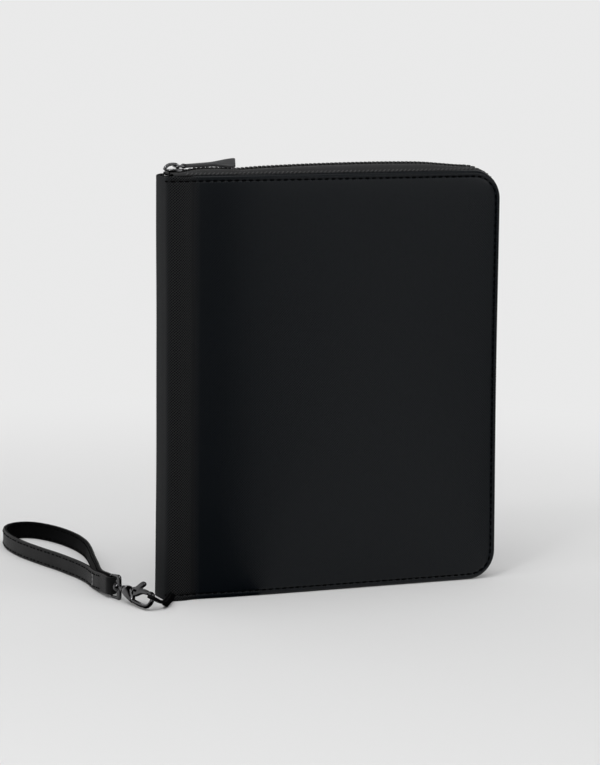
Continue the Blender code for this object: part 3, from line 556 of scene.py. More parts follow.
print("unrolled sheet", round(SHEET, 1), "by", HEIGHT, "mm")

# %% [markdown]
# The padding's form comes from Blender's cloth simulation.
# A flat blanket is pinned along the seam and blown up.
# Only its shape is kept, as a share of its highest point, and PAD_RISE gives its height in millimetres.

# %% The padding
PAD_START, PAD_RISE, FULLNESS, SHOULDER, PAD_RUN, SHOULDER_SPAN = 16.0, 1.8, 0.7, 0.4, 5.0, (14, 52)
BLANKET, PRESSURE, CLOTH_FRAMES = (45, 55), 4.0, 20


def blanket():
    """Lines of s and z of a flat blanket that covers the padded part of the sheet."""
    return np.linspace(PAD_START, SHEET, BLANKET[0]), np.linspace(0, HEIGHT, BLANKET[1])


def blown_up():
    """The blanket's heights after a cloth simulation: pinned at the seam and blown up by an even pressure.

    The heights are a share of the highest one, raised to a power that fills the blanket out towards its seam.
    """
    s, z = (lines.ravel() for lines in np.meshgrid(*blanket(), indexing="ij"))
    held = (from_edge(s, z) < SEAM + 1) | (s < PAD_START + 1)
    mesh = bpy.data.meshes.new("blanket")
    mesh.from_pydata((np.stack([s, z, 0 * s], -1) * MM).tolist(), [], cells(*BLANKET).tolist())
    item = placed("blanket", mesh)
    item.vertex_groups.new(name="seam").add(np.flatnonzero(held).tolist(), 1.0, "REPLACE")
    step = item.modifiers.new("cloth", "CLOTH")
    step.settings.vertex_group_mass = "seam"
    step.settings.use_pressure, step.settings.uniform_pressure_force = True, PRESSURE
    step.settings.effector_weights.gravity = 0.0
    step.point_cache.frame_start, step.point_cache.frame_end = 1, CLOTH_FRAMES
    for number in range(1, CLOTH_FRAMES + 1):
        bpy.context.scene.frame_set(number)
    blown = item.evaluated_get(bpy.context.evaluated_depsgraph_get()).to_mesh()
    rise = np.empty(len(s) * 3)
    blown.vertices.foreach_get("co", rise)
    rise = np.abs(rise.reshape(-1, 3)[:, 2]) / MM
    bpy.context.scene.frame_set(1)
    bpy.data.objects.remove(item)
    print("blanket rose", rise.max().round(2), "mm, kept as a shape and scaled to", PAD_RISE)
    return (rise / rise.max()).reshape(BLANKET) ** FULLNESS


CUSHION = blown_up()


def swell(s, z, e):
    """The blown-up blanket, read between its four nearest points, and a soft shoulder at the seam."""
    rows, columns = blanket()
    i = np.interp(s, rows, np.arange(len(rows)))
    j = np.interp(z, columns, np.arange(len(columns)))
    i0, j0 = np.minimum(i.astype(int), len(rows) - 2), np.minimum(j.astype(int), len(columns) - 2)
    u, v = i - i0, j - j0
    near = CUSHION[i0, j0] * (1 - v) + CUSHION[i0, j0 + 1] * v
    far = CUSHION[i0 + 1, j0] * (1 - v) + CUSHION[i0 + 1, j0 + 1] * v
    shoulder = SHOULDER * (1 - np.exp(-np.maximum(e - SEAM, 0) / PAD_RUN)) * smooth(*SHOULDER_SPAN, s)
    return PAD_RISE * (near * (1 - u) + far * u) + shoulder


# %% [markdown]
# The grid's lines crowd towards the edges, where the turn and the groove need them.
# The inner grid lies a wall's thickness inside: thin at the spine, and as thick as leather, padding and board
# on the cover. The two halves meet at the spine's middle line and bend across their folds.

# %% Covers and spine
NEAR = np.array([0, .05, .18, .4, .75, 1.2, 1.8, 2.3, 2.6, 2.85, 3.1, 3.35, 3.6, 3.9, 4.3, 5, 6.4, 8.5,
                 11, 14, 18, 23])
RIM_WIDE, RIM_FULL = 0.6, 0.5


def sheet_grid():
    """Lines of s and z: even in the middle, crowded near the edge, and drawn in round the two corners."""
    s = np.concatenate([np.linspace(0, ARC + 14, 40), np.linspace(ARC + 17, SHEET - NEAR[-1] - 4, 42),
                        SHEET - NEAR[::-1]])
    drop = CORNER - np.sqrt(CORNER ** 2 - np.clip(s - (SHEET - CORNER), 0, CORNER) ** 2)
    dip = SPINE_DIP * smooth(*DIP_SPAN, s)
    low, high = drop[:, None] + NEAR, HEIGHT - (drop + dip)[:, None] - NEAR[::-1]
    t = np.linspace(0, 1, 62)[1:-1]
    middle = low[:, -1:] * (1 - t) + high[:, :1] * t
    z = np.concatenate([low, middle, high], 1)
    return np.broadcast_to(s[:, None], z.shape), z


def cover_shape(side):
    """The lifted sheet, and a plain one a wall's thickness inside it that comes up a little at the rim."""
    s, z = sheet_grid()
    outer = on_sheet(s, z, sheet_lift(s, z), side)
    wall = SPINE_WALL + (COVER - SPINE_WALL) * smooth(ARC - 4, ARC + 9, s)
    rim = RIM_FULL * np.clip(1 - from_edge(s, z) / RIM_WIDE, 0, 1) ** 2
    inner = on_sheet(s, z, spine_flare(s, z) - wall + rim, side)
    return shell(outer, inner, np.stack([s * side, z], -1))


def bend_at_fold(item):
    """Bakes the piece's place into its mesh."""
    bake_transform(item)


for word, side in (("front", -1), ("back", 1)):
    item = piece(f"{word}_leather", cover_shape(side), leather,
                 stands_for=(f"{word}_cover", f"{word}_padding", f"{word}_board", "spine_wrap"))
    bend_at_fold(item)

# %% [markdown]
# The seam is a row of real stitches, four millimetres from hole to hole, that lie a little below the leather.
# One stitch is a small spindle of thread; numpy sets down all of them at once.

# %% Seams
SEAM_PITCH, SEAM_PROUD, SMALL_STEP, FRONT_SEAM, BACK_SEAM = 4.0, 0.1, 0.2, 6.0, 14.0
SEAM_STITCH, STITCH_DIP = (2.8, 1.0), 0.12


def spindle(length, thick, rings=5, sides=6):
    """A stitch along its first axis: a round thread that narrows and dips at both ends."""
    t = np.linspace(-1, 1, rings)[:, None]
    r = thick / 2 * np.sqrt(np.clip(1.08 - t ** 4, 0, 1))
    a = angles(sides)
    return lattice(t * length / 2, r * np.cos(a), r * np.sin(a) - STITCH_DIP * t ** 2)


def round_the_edge(run, start, top, radius):
    """The way out as an angle, and the point it turns about, at each run.

    A run goes along the top, round a corner, down the fore-edge, round a corner and back along the foot.
    """
    bend, fore = radius * math.pi / 2, HEIGHT - 2 * CORNER
    past_first, past_second = (np.clip((run - begin) / radius, 0, np.pi / 2)
                               for begin in (top, top + bend + fore))
    x = start + np.minimum(run, top) - np.maximum(run - top - fore - 2 * bend, 0)
    return np.pi / 2 - past_first - past_second, x, HEIGHT - CORNER - np.clip(run - top - bend, 0, fore)


def edge_line(inset, start, pitch):
    """Even points of the unrolled sheet at one distance from its edge, and the direction along it there."""
    r, top = CORNER - inset, SHEET - CORNER - start
    run = np.arange(pitch / 2, 2 * top + r * math.pi + HEIGHT - 2 * CORNER, pitch)
    a, x, z = round_the_edge(run, start, top, r)
    return x + r * np.cos(a), z + r * np.sin(a), np.stack([np.sin(a), -np.cos(a)], -1)


def seam_shape(side, start):
    """Stitches in the groove, each turned along the seam and laid on the leather's slope."""
    s, z, along = edge_line(SEAM, start, SEAM_PITCH)
    lift = sheet_lift(s, z) + SEAM_PROUD
    here = on_sheet(s, z, lift, side)
    there = on_sheet(s + along[:, 0] * SMALL_STEP, z + along[:, 1] * SMALL_STEP, lift, side)
    ahead, out = unit(there - here), unit(on_sheet(s, z, lift + 1, side) - here)
    return copies(spindle(*SEAM_STITCH), here, np.stack([ahead, np.cross(out, ahead), out], 1))


for word, side, start in (("front", -1, FRONT_SEAM), ("back", 1, BACK_SEAM)):
    item = piece(f"{word}_seam", seam_shape(side, start), thread)
    bend_at_fold(item)

# %% [markdown]
# The zip runs along the covers' edges and stands out of them. A run of length gives, at each place, a point
# of the edge and the direction out of it, so tape and teeth are profiles carried along that run.

# %% The zip's run
RUN_START, FOOT_END, PITCH = 2.9, 12.4, 2.5
TOP, BEND, FORE = FORE_X - CORNER - RUN_START, CORNER * math.pi / 2, HEIGHT - 2 * CORNER
FORE_END = TOP + BEND + FORE
RUN = FORE_END + BEND + FORE_X - CORNER - FOOT_END
STAND = [(0, 0.95), (9, 1.0), (13, 1.7), (18, 2.4), (28, 2.5), (35, 2.3), (41, 1.8), (54, 2.3), (77, 3.05),
         (106, 3.55), (134, 3.55), (152, 3.1), (164, 2.1), (172, 1.4), (TOP + BEND / 2, 0.9),
         (TOP + BEND, 0.9), (TOP + BEND + 30, 1.4), (TOP + BEND + FORE / 2, 1.5), (FORE_END - 40, 1.2),
         (FORE_END, -0.3), (FORE_END + BEND / 2, -1.4), (FORE_END + BEND, -1.7), (RUN, -1.7)]


def zip_point(run, y, out):
    """The edge's point at this run, moved across by y and out by the chain's stand plus out."""
    a, x, z = round_the_edge(run, RUN_START, TOP, CORNER)
    r = CORNER + read_off(STAND, run) + out
    return lattice(x + r * np.cos(a), y, z + r * np.sin(a))


def zip_axes(run, side):
    """Along the run, across towards the middle, and square to both, for each place of the run."""
    along = unit(zip_point(run + SMALL_STEP, 0.0, 0.0) - zip_point(run - SMALL_STEP, 0.0, 0.0))
    across = np.broadcast_to([0.0, -side, 0.0], along.shape)
    return np.stack([along, across, np.cross(along, across) * side], 1)


print("zip run", round(RUN), "mm")

# %% [markdown]
# A tape comes up inside the cover's edge, leans over to the chain and ends under the teeth.
# A tooth is a moulded wedge with a waist and a rounded head, and the two rows stand half a pitch apart.
# Slanting stitches hold the tape to the cover's turned edge.

# %% Tapes and teeth
TAPE_FIRST, TAPE_STEP, TAPE_THICK, TAPE_BOW, TAPE_WIDE = 2.0, 2.0, 0.7, 0.12, 17.0
TAPE_LEAN = .3, .85
TAPE_LINE = np.array([(0, 8.35, -8.0), (.3, 8.4, -2.6), (.55, 7.9, 0), (.8, 5.6, 0), (1, 2.2, 0)])
TOOTH = np.array([(-3.2, 0.5, 0.7), (-3.0, 0.62, 1.0), (-1.9, 0.6, 1.15), (-0.9, 0.44, 1.1),
                  (-0.2, 0.55, 1.15), (0.45, 0.55, 1.1), (0.65, 0.32, 0.7)])
TIP_UP, TIP_DOWN, TIP_SPAN = 0.35, 0.8, (34, 48)
WHIP_SIDE, WHIP_OUT, WHIP_SLANT, WHIP_TUCK, WHIP_STITCH = 8.6, 0.55, 0.8, 2.0, (2.1, 0.8)


def tape_shape(side):
    """A smooth line from inside the cover up and over to the chain, carried along the run as two faces."""
    run = np.unique(np.concatenate([np.arange(TAPE_FIRST, RUN, TAPE_STEP), [RUN]]))[:, None]
    t = np.linspace(0, 1, 15)
    y, n = through(TAPE_LINE[:, 0], TAPE_LINE[:, 1:], t).T
    n = n + read_off(STAND, run) * (smooth(*TAPE_LEAN, t) - 1) + TAPE_BOW * np.sin(t * np.pi)
    upright = np.where(t < .5, 1, 0)
    faces = [zip_point(run, side * (y + d * upright), n + d * (1 - upright))
             for d in (TAPE_THICK / 2, -TAPE_THICK / 2)]
    return shell(*faces, lattice(run, t * TAPE_WIDE))


def tooth_rings():
    """Rings along the tooth: a flat foot on the tape, a waist and a head, each a rounded square."""
    across, wide, high = TOOTH.T[..., None]
    a = angles(8) + np.pi / 8
    c, s = (np.sign(f) * np.abs(f) ** 0.6 for f in (np.cos(a), np.sin(a)))
    return lattice(wide * c, across, high * s)


def teeth_shape(side, start):
    """One row of teeth. Past the slider's rest the chain tips, so that the back row stands higher."""
    run = np.arange(start, RUN - 1, PITCH)
    tipped = (TIP_UP if side > 0 else -TIP_DOWN) * smooth(*TIP_SPAN, run)
    return copies(tooth_rings(), zip_point(run, 0.0, tipped), zip_axes(run, side))


def whip_shape(side):
    """Slanting stitches on the cover's turned edge, one for each tooth; they lie deeper at the foot."""
    run = np.arange(FOOT_END - RUN_START, RUN - 2, PITCH)
    axes = zip_axes(run, side)
    lean = unit(axes[:, 0] - WHIP_SLANT * axes[:, 2])
    tuck = WHIP_TUCK * smooth(FORE_END - 20, FORE_END, run)
    place = zip_point(run, side * WHIP_SIDE, WHIP_OUT - read_off(STAND, run) - tuck)
    return copies(spindle(*WHIP_STITCH), place, np.stack([lean, np.cross(axes[:, 1], lean), -axes[:, 1]], 1))


for word, side, first_tooth in (("front", -1, 5.5), ("back", 1, 1)):
    body = f"{word}_half"
    piece(f"{word}_tape", tape_shape(side), tape_cloth, body, (f"{word}_zip_tape",))
    teeth = teeth_shape(side, PITCH * first_tooth)
    piece(f"{word}_teeth", teeth, teeth_plastic, body, (f"{word}_zip_teeth",), 50)
    piece(f"{word}_tape_stitches", whip_shape(side), tape_thread, body)

# %% [markdown]
# The slider is two small plates that hold the chain between their flanges, with a bail over the upper one.
# Its pieces are worked out in the slider's own axes: u along the zip, y across it and v out of it.

# %% Slider plates and bail
SLIDER_X, RISE_PARKED, RISE_RUN, RUN_END = 6.8, 1.0, 3.4, 157.0
SLOPE = math.atan((RISE_RUN - RISE_PARKED) / (RUN_END - SLIDER_X))
SEAT = np.array([SLIDER_X, 0.0, HEIGHT + RISE_PARKED])
TRAVEL = np.array([math.cos(SLOPE), 0.0, math.sin(SLOPE)])
OVER = np.array([-math.sin(SLOPE), 0.0, math.cos(SLOPE)])
SIDEWAYS = np.array([0.0, 1.0, 0.0])
SLIDER_LONG, SLIDER_SIDE, PLATE_MIDDLE, PLATE_TOP, PLATE_UNDER, LIP = 5.25, 4.2, 1.35, 2.0, 1.4, 0.6
CROWN_MIDDLE, CROWN_HALF, CROWN_LEAN, CROWN_FOOT, CROWN_RISE = -0.4, 3.6, 1.0, 1.6, 2.95
CROWN_WIDE, CROWN_THICK = 1.3, 0.85
FLANGE_SPAN, PLATE_TAPER, TAPER_SPAN = (0.62, 0.86), 0.1, (0.2, -1.0)
PLATE_INSET = np.array([3.4, 1.3, 1.2, 0.2, 0, 0, 0.08, 0.3, 0.7, 2.0, 3.4])[:, None]
PLATE_CROWN = -0.5, -0.22, -0.05, 0, 0.12, 0.16


def on_slider(u, y, v):
    """The point at u, y and v on the slider's three axes, from its seat."""
    u, y, v = (part[..., None] for part in np.broadcast_arrays(u, y, v))
    return SEAT + u * TRAVEL + v * OVER + y * SIDEWAYS


def plate_shape(up):
    """Rings of a rounded oblong, each smaller or higher than the last; flanges hang down on the two sides."""
    c, s = rounded(48, 3.4)
    hang = PLATE_UNDER + (LIP - PLATE_UNDER) * smooth(*FLANGE_SPAN, np.abs(s))
    level = [PLATE_UNDER, PLATE_UNDER, hang, hang, hang + 0.2,
             *(PLATE_TOP + above for above in PLATE_CROWN)]
    v = np.stack([np.broadcast_to(row, c.shape) for row in level])
    taper = 1 - PLATE_TAPER * smooth(*TAPER_SPAN, c)
    u, y = PLATE_MIDDLE + (SLIDER_LONG - PLATE_INSET) * c, (SLIDER_SIDE - PLATE_INSET) * s * taper
    return tube(on_slider(u, y, up * v))


def bar(path, flat, wide, thick, sides=14, power=2.0, closed=False):
    """A rounded section along a path: wide lies along flat, thick across it. UV is length and width."""
    path, flat = np.asarray(path, float), np.asarray(flat, float)
    ahead = np.roll(path, -1, 0) - np.roll(path, 1, 0) if closed else np.gradient(path, axis=0)
    flat = np.broadcast_to(flat, path.shape)
    beside = unit(np.cross(ahead, flat))
    c, s = rounded(sides, power)
    wide, thick = (np.broadcast_to(v, len(path))[:, None] for v in (wide, thick))
    rings = path[:, None] + beside[:, None] * (thick * c)[..., None] + flat[:, None] * (wide * s)[..., None]
    points, faces, _ = tube(rings, closed)
    return points, faces, lattice(lengths(path)[:, None], wide * s + thick * c).reshape(-1, 2)


def bail_shape():
    """Half an oval over the plate, made a little squarer by two powers and leant along the zip."""
    a = np.linspace(np.pi, 0, 33)
    u = CROWN_MIDDLE + CROWN_HALF * np.sign(np.cos(a)) * np.abs(np.cos(a)) ** 0.85 + CROWN_LEAN * np.sin(a)
    v = CROWN_FOOT + CROWN_RISE * np.sin(a) ** 0.75
    return bar(on_slider(u, 0.0, v), SIDEWAYS, CROWN_WIDE, CROWN_THICK, 16, 3.0)


piece("slider_top", joined(plate_shape(1), bail_shape()), gunmetal, "slider", ("slider_body",))
piece("slider_underside", plate_shape(-1), gunmetal, "slider", ("slider_base",))

# %% [markdown]
# A wire link hangs in the bail and carries the pull, a flared flat tongue that lies nearly along the zip and
# turns its face a little to the front.

# %% Link and pull
LINK_U, LINK_V, LINK_LONG, LINK_HALF, LINK_WIRE, LINK_BEND = 1.6, 3.3, 5.2, 2.6, 0.6, 1.2
PULL_PIN = on_slider(LINK_U + LINK_LONG, 0.0, LINK_V)
PULL_LONG, PULL_NECK, PULL_END, PULL_THICK, PULL_SKEW = 29.7, 1.9, 5.4, 1.05, 0.36
PULL_LIFT, PULL_TURN = math.radians(2.5), math.radians(18.0)
PULL_EYE, EYE_WIDE, EYE_THICK = 1.0, 1.5, 0.35
PULL_TIP, TIP_SHARE = 0.955, 0.0452


def oblong(length, half, radius, count=8):
    """A rectangle with rounded corners as a closed line, from its near end at 0 to its far end at length."""
    a = np.linspace(0, np.pi / 2, count) + np.arange(4)[:, None] * np.pi / 2
    x = np.array([length - radius, radius, radius, length - radius])[:, None]
    y = np.array([half - radius, half - radius, radius - half, radius - half])[:, None]
    return np.stack([x + radius * np.cos(a), y + radius * np.sin(a)], -1).reshape(-1, 2)


def link_shape():
    """A round wire along a rounded oblong in the slider's plane."""
    ring = oblong(LINK_LONG, LINK_HALF, LINK_BEND)
    return bar(on_slider(LINK_U + ring[:, 0], ring[:, 1], LINK_V), OVER, LINK_WIRE, LINK_WIRE, closed=True)


def pull_shape():
    """An eye round the link, and a tongue of rounded oblongs that flare over the last half and turn over."""
    along = np.array([math.cos(PULL_LIFT), 0.0, math.sin(PULL_LIFT)])
    over = np.array([-math.sin(PULL_LIFT), 0.0, math.cos(PULL_LIFT)])
    a = angles(24)[:, None]
    eye = PULL_PIN + PULL_EYE * (np.cos(a) * TRAVEL + np.sin(a) * OVER)
    t = np.concatenate([np.linspace(0, 0.93, 30), [0.96, 0.98, 0.993, 1.0]])[:, None]
    turn = PULL_TURN * smooth(0, 1, t * 1.1)
    end = np.sqrt(np.clip(1 - (np.clip(t - PULL_TIP, 0, 1) / TIP_SHARE) ** 2, 0.0, 1))
    wide = (PULL_NECK + (PULL_END - PULL_NECK) * smooth(0.45, 0.97, t)) * (0.9 + 0.1 * end)
    thick = PULL_THICK * (0.5 + 0.5 * end)
    y = np.cos(turn) * SIDEWAYS + np.sin(turn) * over + PULL_SKEW * smooth(0.5, 1, t) * along
    z = np.cos(turn) * over - np.sin(turn) * SIDEWAYS
    c, s = rounded(28, 4.5)
    middle = PULL_PIN + (PULL_EYE + (PULL_LONG - PULL_EYE) * t) * along
    rings = middle[:, None] + (wide * c)[..., None] * y[:, None] + (thick * s)[..., None] * z[:, None]
    return joined(bar(eye, SIDEWAYS, EYE_WIDE, EYE_THICK, 16, 4.0, closed=True), tube(rings))


piece("link_wire", link_shape(), gunmetal, "link", ("pull_link",))
piece("pull_tongue", pull_shape(), pull_grey, "pull", ("pull_tab",))

# %% [markdown]
# The clasp is a hook with a sprung thumb gate, and a ring that swivels in its barrel. Its pieces are worked
# out along the clasp's own axes: t from the nose back to the ring, b across the hook, c square to it.

# %% Clasp axes
CLASP_YAW, CLASP_ROLL = math.radians(13.0), math.radians(60.0)
NOSE = np.array([-14.7, -30.1, 6.8])
BACK = np.array([-math.sin(CLASP_YAW), math.cos(CLASP_YAW), 0.0])
UP = np.array([0.0, 0.0, 1.0])
BESIDE = np.array([BACK[1], -BACK[0], 0.0])
ACROSS = BESIDE * math.cos(CLASP_ROLL) + UP * math.sin(CLASP_ROLL)
SQUARE = np.cross(BACK, ACROSS)


def on_clasp(t, b, c):
    """The point at t, b and c on the clasp's three axes, from the nose."""
    t, b, c = (part[..., None] for part in np.broadcast_arrays(t, b, c))
    return NOSE + t * BACK + b * ACROSS + c * SQUARE


def turned(profile, start, sides=28):
    """A lathe shape: each (distance past start, radius) pair is a circle round the clasp's long axis."""
    profile = np.array(profile) + [start, 0]
    a = angles(sides)[:, None]
    circle = np.cos(a) * UP + np.sin(a) * BESIDE
    return tube(NOSE + profile[:, :1, None] * BACK + profile[:, 1:, None] * circle)


def slab(outline, half, bevel):
    """A plate from a closed outline of (t, b) points, drawn in along a quarter circle at both faces."""
    outline = np.asarray(outline, float)
    ahead = unit(np.roll(outline, -1, 0) - np.roll(outline, 1, 0))
    area = np.sum(outline[:, 0] * np.roll(outline[:, 1], -1) - outline[:, 1] * np.roll(outline[:, 0], -1))
    inward = np.stack([-ahead[:, 1], ahead[:, 0]], -1) * np.sign(area)
    a = np.linspace(0, np.pi / 2, 4)
    level, drawn = half - bevel + bevel * np.sin(a), bevel - bevel * np.cos(a)
    level, drawn = np.concatenate([-level[::-1], level]), np.concatenate([drawn[::-1], drawn])
    flat = outline + inward * drawn[:, None, None]
    return tube(on_clasp(flat[..., 0], flat[..., 1], level[:, None]))


def cut(item, *cutters):
    """Takes the cutters' shapes out of a piece, once, and leaves no modifier behind."""
    for shape in cutters:
        tool = piece(item.name + "_cut", shape, item.data.materials[0])
        step = item.modifiers.new("cut", "BOOLEAN")
        step.operation, step.solver, step.object = "DIFFERENCE", "EXACT", tool
        with bpy.context.temp_override(object=item, active_object=item, selected_objects=[item]):
            bpy.ops.object.modifier_apply(modifier=step.name)
        bpy.data.objects.remove(tool)
    item.data.shade_smooth()
    item.data.set_sharp_from_angle(angle=math.radians(40))


print("clasp from", NOSE, "towards", BACK.round(3))

# %% [markdown]
# The hook's bar is a round wire bent in one plane, which grows into a soft barrel.
# A slot for the gate and a seat for the ring's stem are cut out of it. The gate is a plate with a thumb rest.

# %% Hook and gate
HOOK_HALF, HOOK_BEND, HOOK_BAR, HOOK_LOW, HOOK_TIP = 3.65, 3.4, 1.2, -1.75, -0.5
TIP_LONG, TIP_ROUND, HOOK_TAIL = 5.1, 4.4, 19.0
SEAT_END = 27.3
BARREL = np.array([(15.6, -4.6, 0.9, 0.8), (16.2, -4.3, 1.5, 1.3), (18, -3.1, 2.4, 2.0), (20, -1.8, 3.2, 2.5),
                   (22, -1.0, 3.5, 2.7), (25, -0.4, 3.2, 2.7), (SEAT_END, -0.1, 2.4, 2.2)])
GATE_HALF, GATE_EDGE, SLOT_ROOM, SLOT_FLOOR, SLOT_TOP = 0.95, 0.55, 0.3, -1.3, 14.0
GATE_SLOT = [(9.0, SLOT_FLOOR), (20.6, SLOT_FLOOR), (20.6, SLOT_TOP), (9.0, SLOT_TOP)]
RING_SEAT = [(-5.4, 2.0), (-2.6, 2.0), (-2.59, 1.4), (2, 1.4)]
GATE_SIDE = [(4.8, 0.7), (4.8, 2.9), (8.2, 3.3), (11.6, 3.3), (13.6, 3.4), (11.5, 5.1), (11.7, 6.6),
             (13.4, 7.3), (15.2, 6.6), (17.2, 4.3), (18.6, 3.0), (20.4, 2.7), (21.2, 1.2), (20.6, -0.8),
             (19.0, -2.2), (17.0, -2.4), (14.6, -1.5), (12.4, -0.2), (10.4, 0.5), (8.0, 0.6)]


def nose_shape():
    """A bar from its rounded tip, round the two bends of the nose and back into the barrel."""
    a = np.linspace(0, np.pi / 2, 10)
    straight_part = HOOK_HALF - HOOK_BEND
    bend_one = np.stack([HOOK_BEND - HOOK_BEND * np.sin(a), straight_part + HOOK_BEND * np.cos(a)], -1)
    bend_two = np.stack([HOOK_BEND - HOOK_BEND * np.cos(a), -straight_part - HOOK_BEND * np.sin(a)], -1)
    tip = np.stack([np.linspace(TIP_LONG, HOOK_BEND + 0.2, 8), np.full(8, HOOK_HALF)], -1)
    t = np.linspace(HOOK_BEND + 0.4, HOOK_TAIL, 18)
    rise = through([HOOK_BEND, 8.0, 13.0, HOOK_TAIL], [0.0, 0.05, 0.5, 1.3], t)
    tail = np.stack([t, rise - HOOK_HALF], -1)
    line = np.concatenate([tip, bend_one, bend_two, tail]) + np.array([HOOK_TIP, HOOK_LOW])
    past = np.clip(line[:, 0] - TIP_ROUND - HOOK_TIP, 0, 0.7) / 0.72
    radius = HOOK_BAR * np.sqrt(np.clip(1 - past ** 2, 0.02, 1))
    radius[len(tip):] = HOOK_BAR
    return bar(on_clasp(line[:, 0], line[:, 1], 0.0), SQUARE, radius, radius, 18)


def barrel_shape():
    """Rounded rings along the clasp whose middle, height and width follow smooth lines through a table."""
    t = np.concatenate([[15.6, 15.8], np.linspace(16.2, SEAT_END - 0.6, 26), [SEAT_END - 0.2, SEAT_END]])
    middle, high, wide = through(BARREL[:, 0], BARREL[:, 1:], t).T[..., None]
    c, s = rounded(32, 2.2)
    return tube(on_clasp(t[:, None], middle + high * s, wide * c))


def rounder(outline, times_over):
    """Corner cutting: each side is replaced by its quarter points, again and again."""
    for _ in range(times_over):
        ahead = np.roll(outline, -1, 0)
        outline = np.stack([0.75 * outline + 0.25 * ahead, 0.25 * outline + 0.75 * ahead], 1).reshape(-1, 2)
    return outline


piece("hook_nose", nose_shape(), black_nickel, "hook", ("hook_body",))
barrel = piece("hook_barrel", barrel_shape(), black_nickel, "hook", ("hook_body",))
cut(barrel, slab(GATE_SLOT, GATE_HALF + SLOT_ROOM, 0.01), turned(RING_SEAT, SEAT_END))
gate = slab(rounder(np.array(GATE_SIDE), 2), GATE_HALF, GATE_EDGE)
piece("thumb_gate", gate, black_nickel, "gate", ("hook_gate",))

# %% [markdown]
# The ring is a flat wire bent to an oblong, broader at its near end, where a turned stem with a head goes
# through the hook's seat. So the ring can spin round the clasp's long axis.

# %% Swivel ring
RING_FRONT, RING_LONG, RING_HALF, RING_BEND = 32.3, 9.5, 5.95, 1.6
RING_WIRE, RING_BROAD, RING_WIDER = 0.65, 1.2, 0.25
STEM = [(-5.0, 1.4), (-4.8, 1.6), (-3.0, 1.6), (-2.99, 1.0), (0.4, 1.0), (0.41, 1.8), (0.7, 2.2), (1.7, 2.2),
        (2.1, 1.9), (2.5, 1.3), (5.8, 1.2), (6.2, 2.0), (7.0, 2.5), (8.2, 2.6), (9.1, 2.2), (9.6, 1.3),
        (9.8, 0.5)]


def ring_shape():
    """A rounded oblong whose bar grows broader towards the stem by a bell curve."""
    loop = oblong(RING_LONG, RING_HALF, RING_BEND)
    front = np.exp(-(loop[:, 0] / 1.6) ** 2)
    line = NOSE + (RING_FRONT + loop[:, :1] + RING_BROAD * front[:, None]) * BACK + loop[:, 1:] * UP
    wide, thick = RING_WIRE + RING_WIDER * front, RING_WIRE + RING_BROAD * front
    return bar(line, BESIDE, wide, thick, 18, 3.0, closed=True)


ring = joined(ring_shape(), turned(STEM, SEAT_END))
piece("swivel_ring", ring, black_nickel, "swivel", ("strap_ring",))

# %% [markdown]
# The wrist strap is one band that runs round the ring's far bar and lies on edge in a long drop.
# It is a flat strap, so it is modelled directly: an oblong section along a smooth closed line, with a lining
# inside it.

# %% Strap
STRAP_LEFT = [(-2.4, 0.045), (-2.3, 0.088), (-1.5, 0.148), (-0.3, 0.212), (-0.5, 0.288), (-2.1, 0.366),
              (-4.1, 0.444), (-6.7, 0.514), (-9.3, 0.590), (-11.5, 0.671), (-12.5, 0.757), (-11.7, 0.838),
              (-8.5, 0.919), (-2.4, 0.976)]
STRAP_RIGHT = [(5.6, 1.000), (13.1, 0.985), (18.7, 0.935), (22.5, 0.870), (24.7, 0.795), (25.4, 0.703),
               (23.7, 0.601), (19.7, 0.496), (13.7, 0.369), (8.7, 0.256), (5.1, 0.180), (2.9, 0.110),
               (2.5, 0.051)]
STRAP_REACH, STRAP_WIDE, BAND, BACKING, STRAP_GAP, GLUE, RING_ROOM = 185.4, 10.0, 1.1, 0.7, 0.2, 0.2, 0.4
RING_BAR = NOSE + (RING_FRONT + RING_LONG) * BACK
LINING_DEEP = BAND / 2 + GLUE + BACKING / 2
DROP_FROM, DROP_RUN, NARROWED, NARROW_SPAN = 3, 28, 0.2, (5.0, 0.0)


def strap_line(count):
    """Even points of a smooth closed line: cubics through the knots, with slopes from the neighbours."""
    a = np.radians(np.linspace(0, -180, 7))
    r = RING_WIRE + RING_ROOM + BACKING + GLUE + BAND / 2
    turn = np.stack([r * np.cos(a), r * np.sin(a)], -1)
    knots = np.concatenate([np.array(STRAP_LEFT + STRAP_RIGHT) * [1, STRAP_REACH], turn]) + RING_BAR[:2]
    p, q, n, m = (np.roll(knots, k, 0)[:, None] for k in (1, 0, -1, -2))
    t = (np.arange(24) / 24)[None, :, None]
    bent = (2 * p - 5 * q + 4 * n - m) * t ** 2 + (3 * q - p - 3 * n + m) * t ** 3
    fine = ((2 * q + (n - p) * t + bent) / 2).reshape(-1, 2)
    closed = np.concatenate([fine, fine[:1]])
    length = lengths(closed)
    even = np.linspace(0, length[-1], count, endpoint=False)
    flat = np.stack([np.interp(even, length, closed[:, k]) for k in (0, 1)], -1)
    drop = smooth(0, 1, (flat[:, 1] - RING_BAR[1] - DROP_FROM) / DROP_RUN)
    z = NOSE[2] + (STRAP_GAP + STRAP_WIDE / 2 - NOSE[2]) * drop
    return np.concatenate([flat, z[:, None]], 1), length[-1]


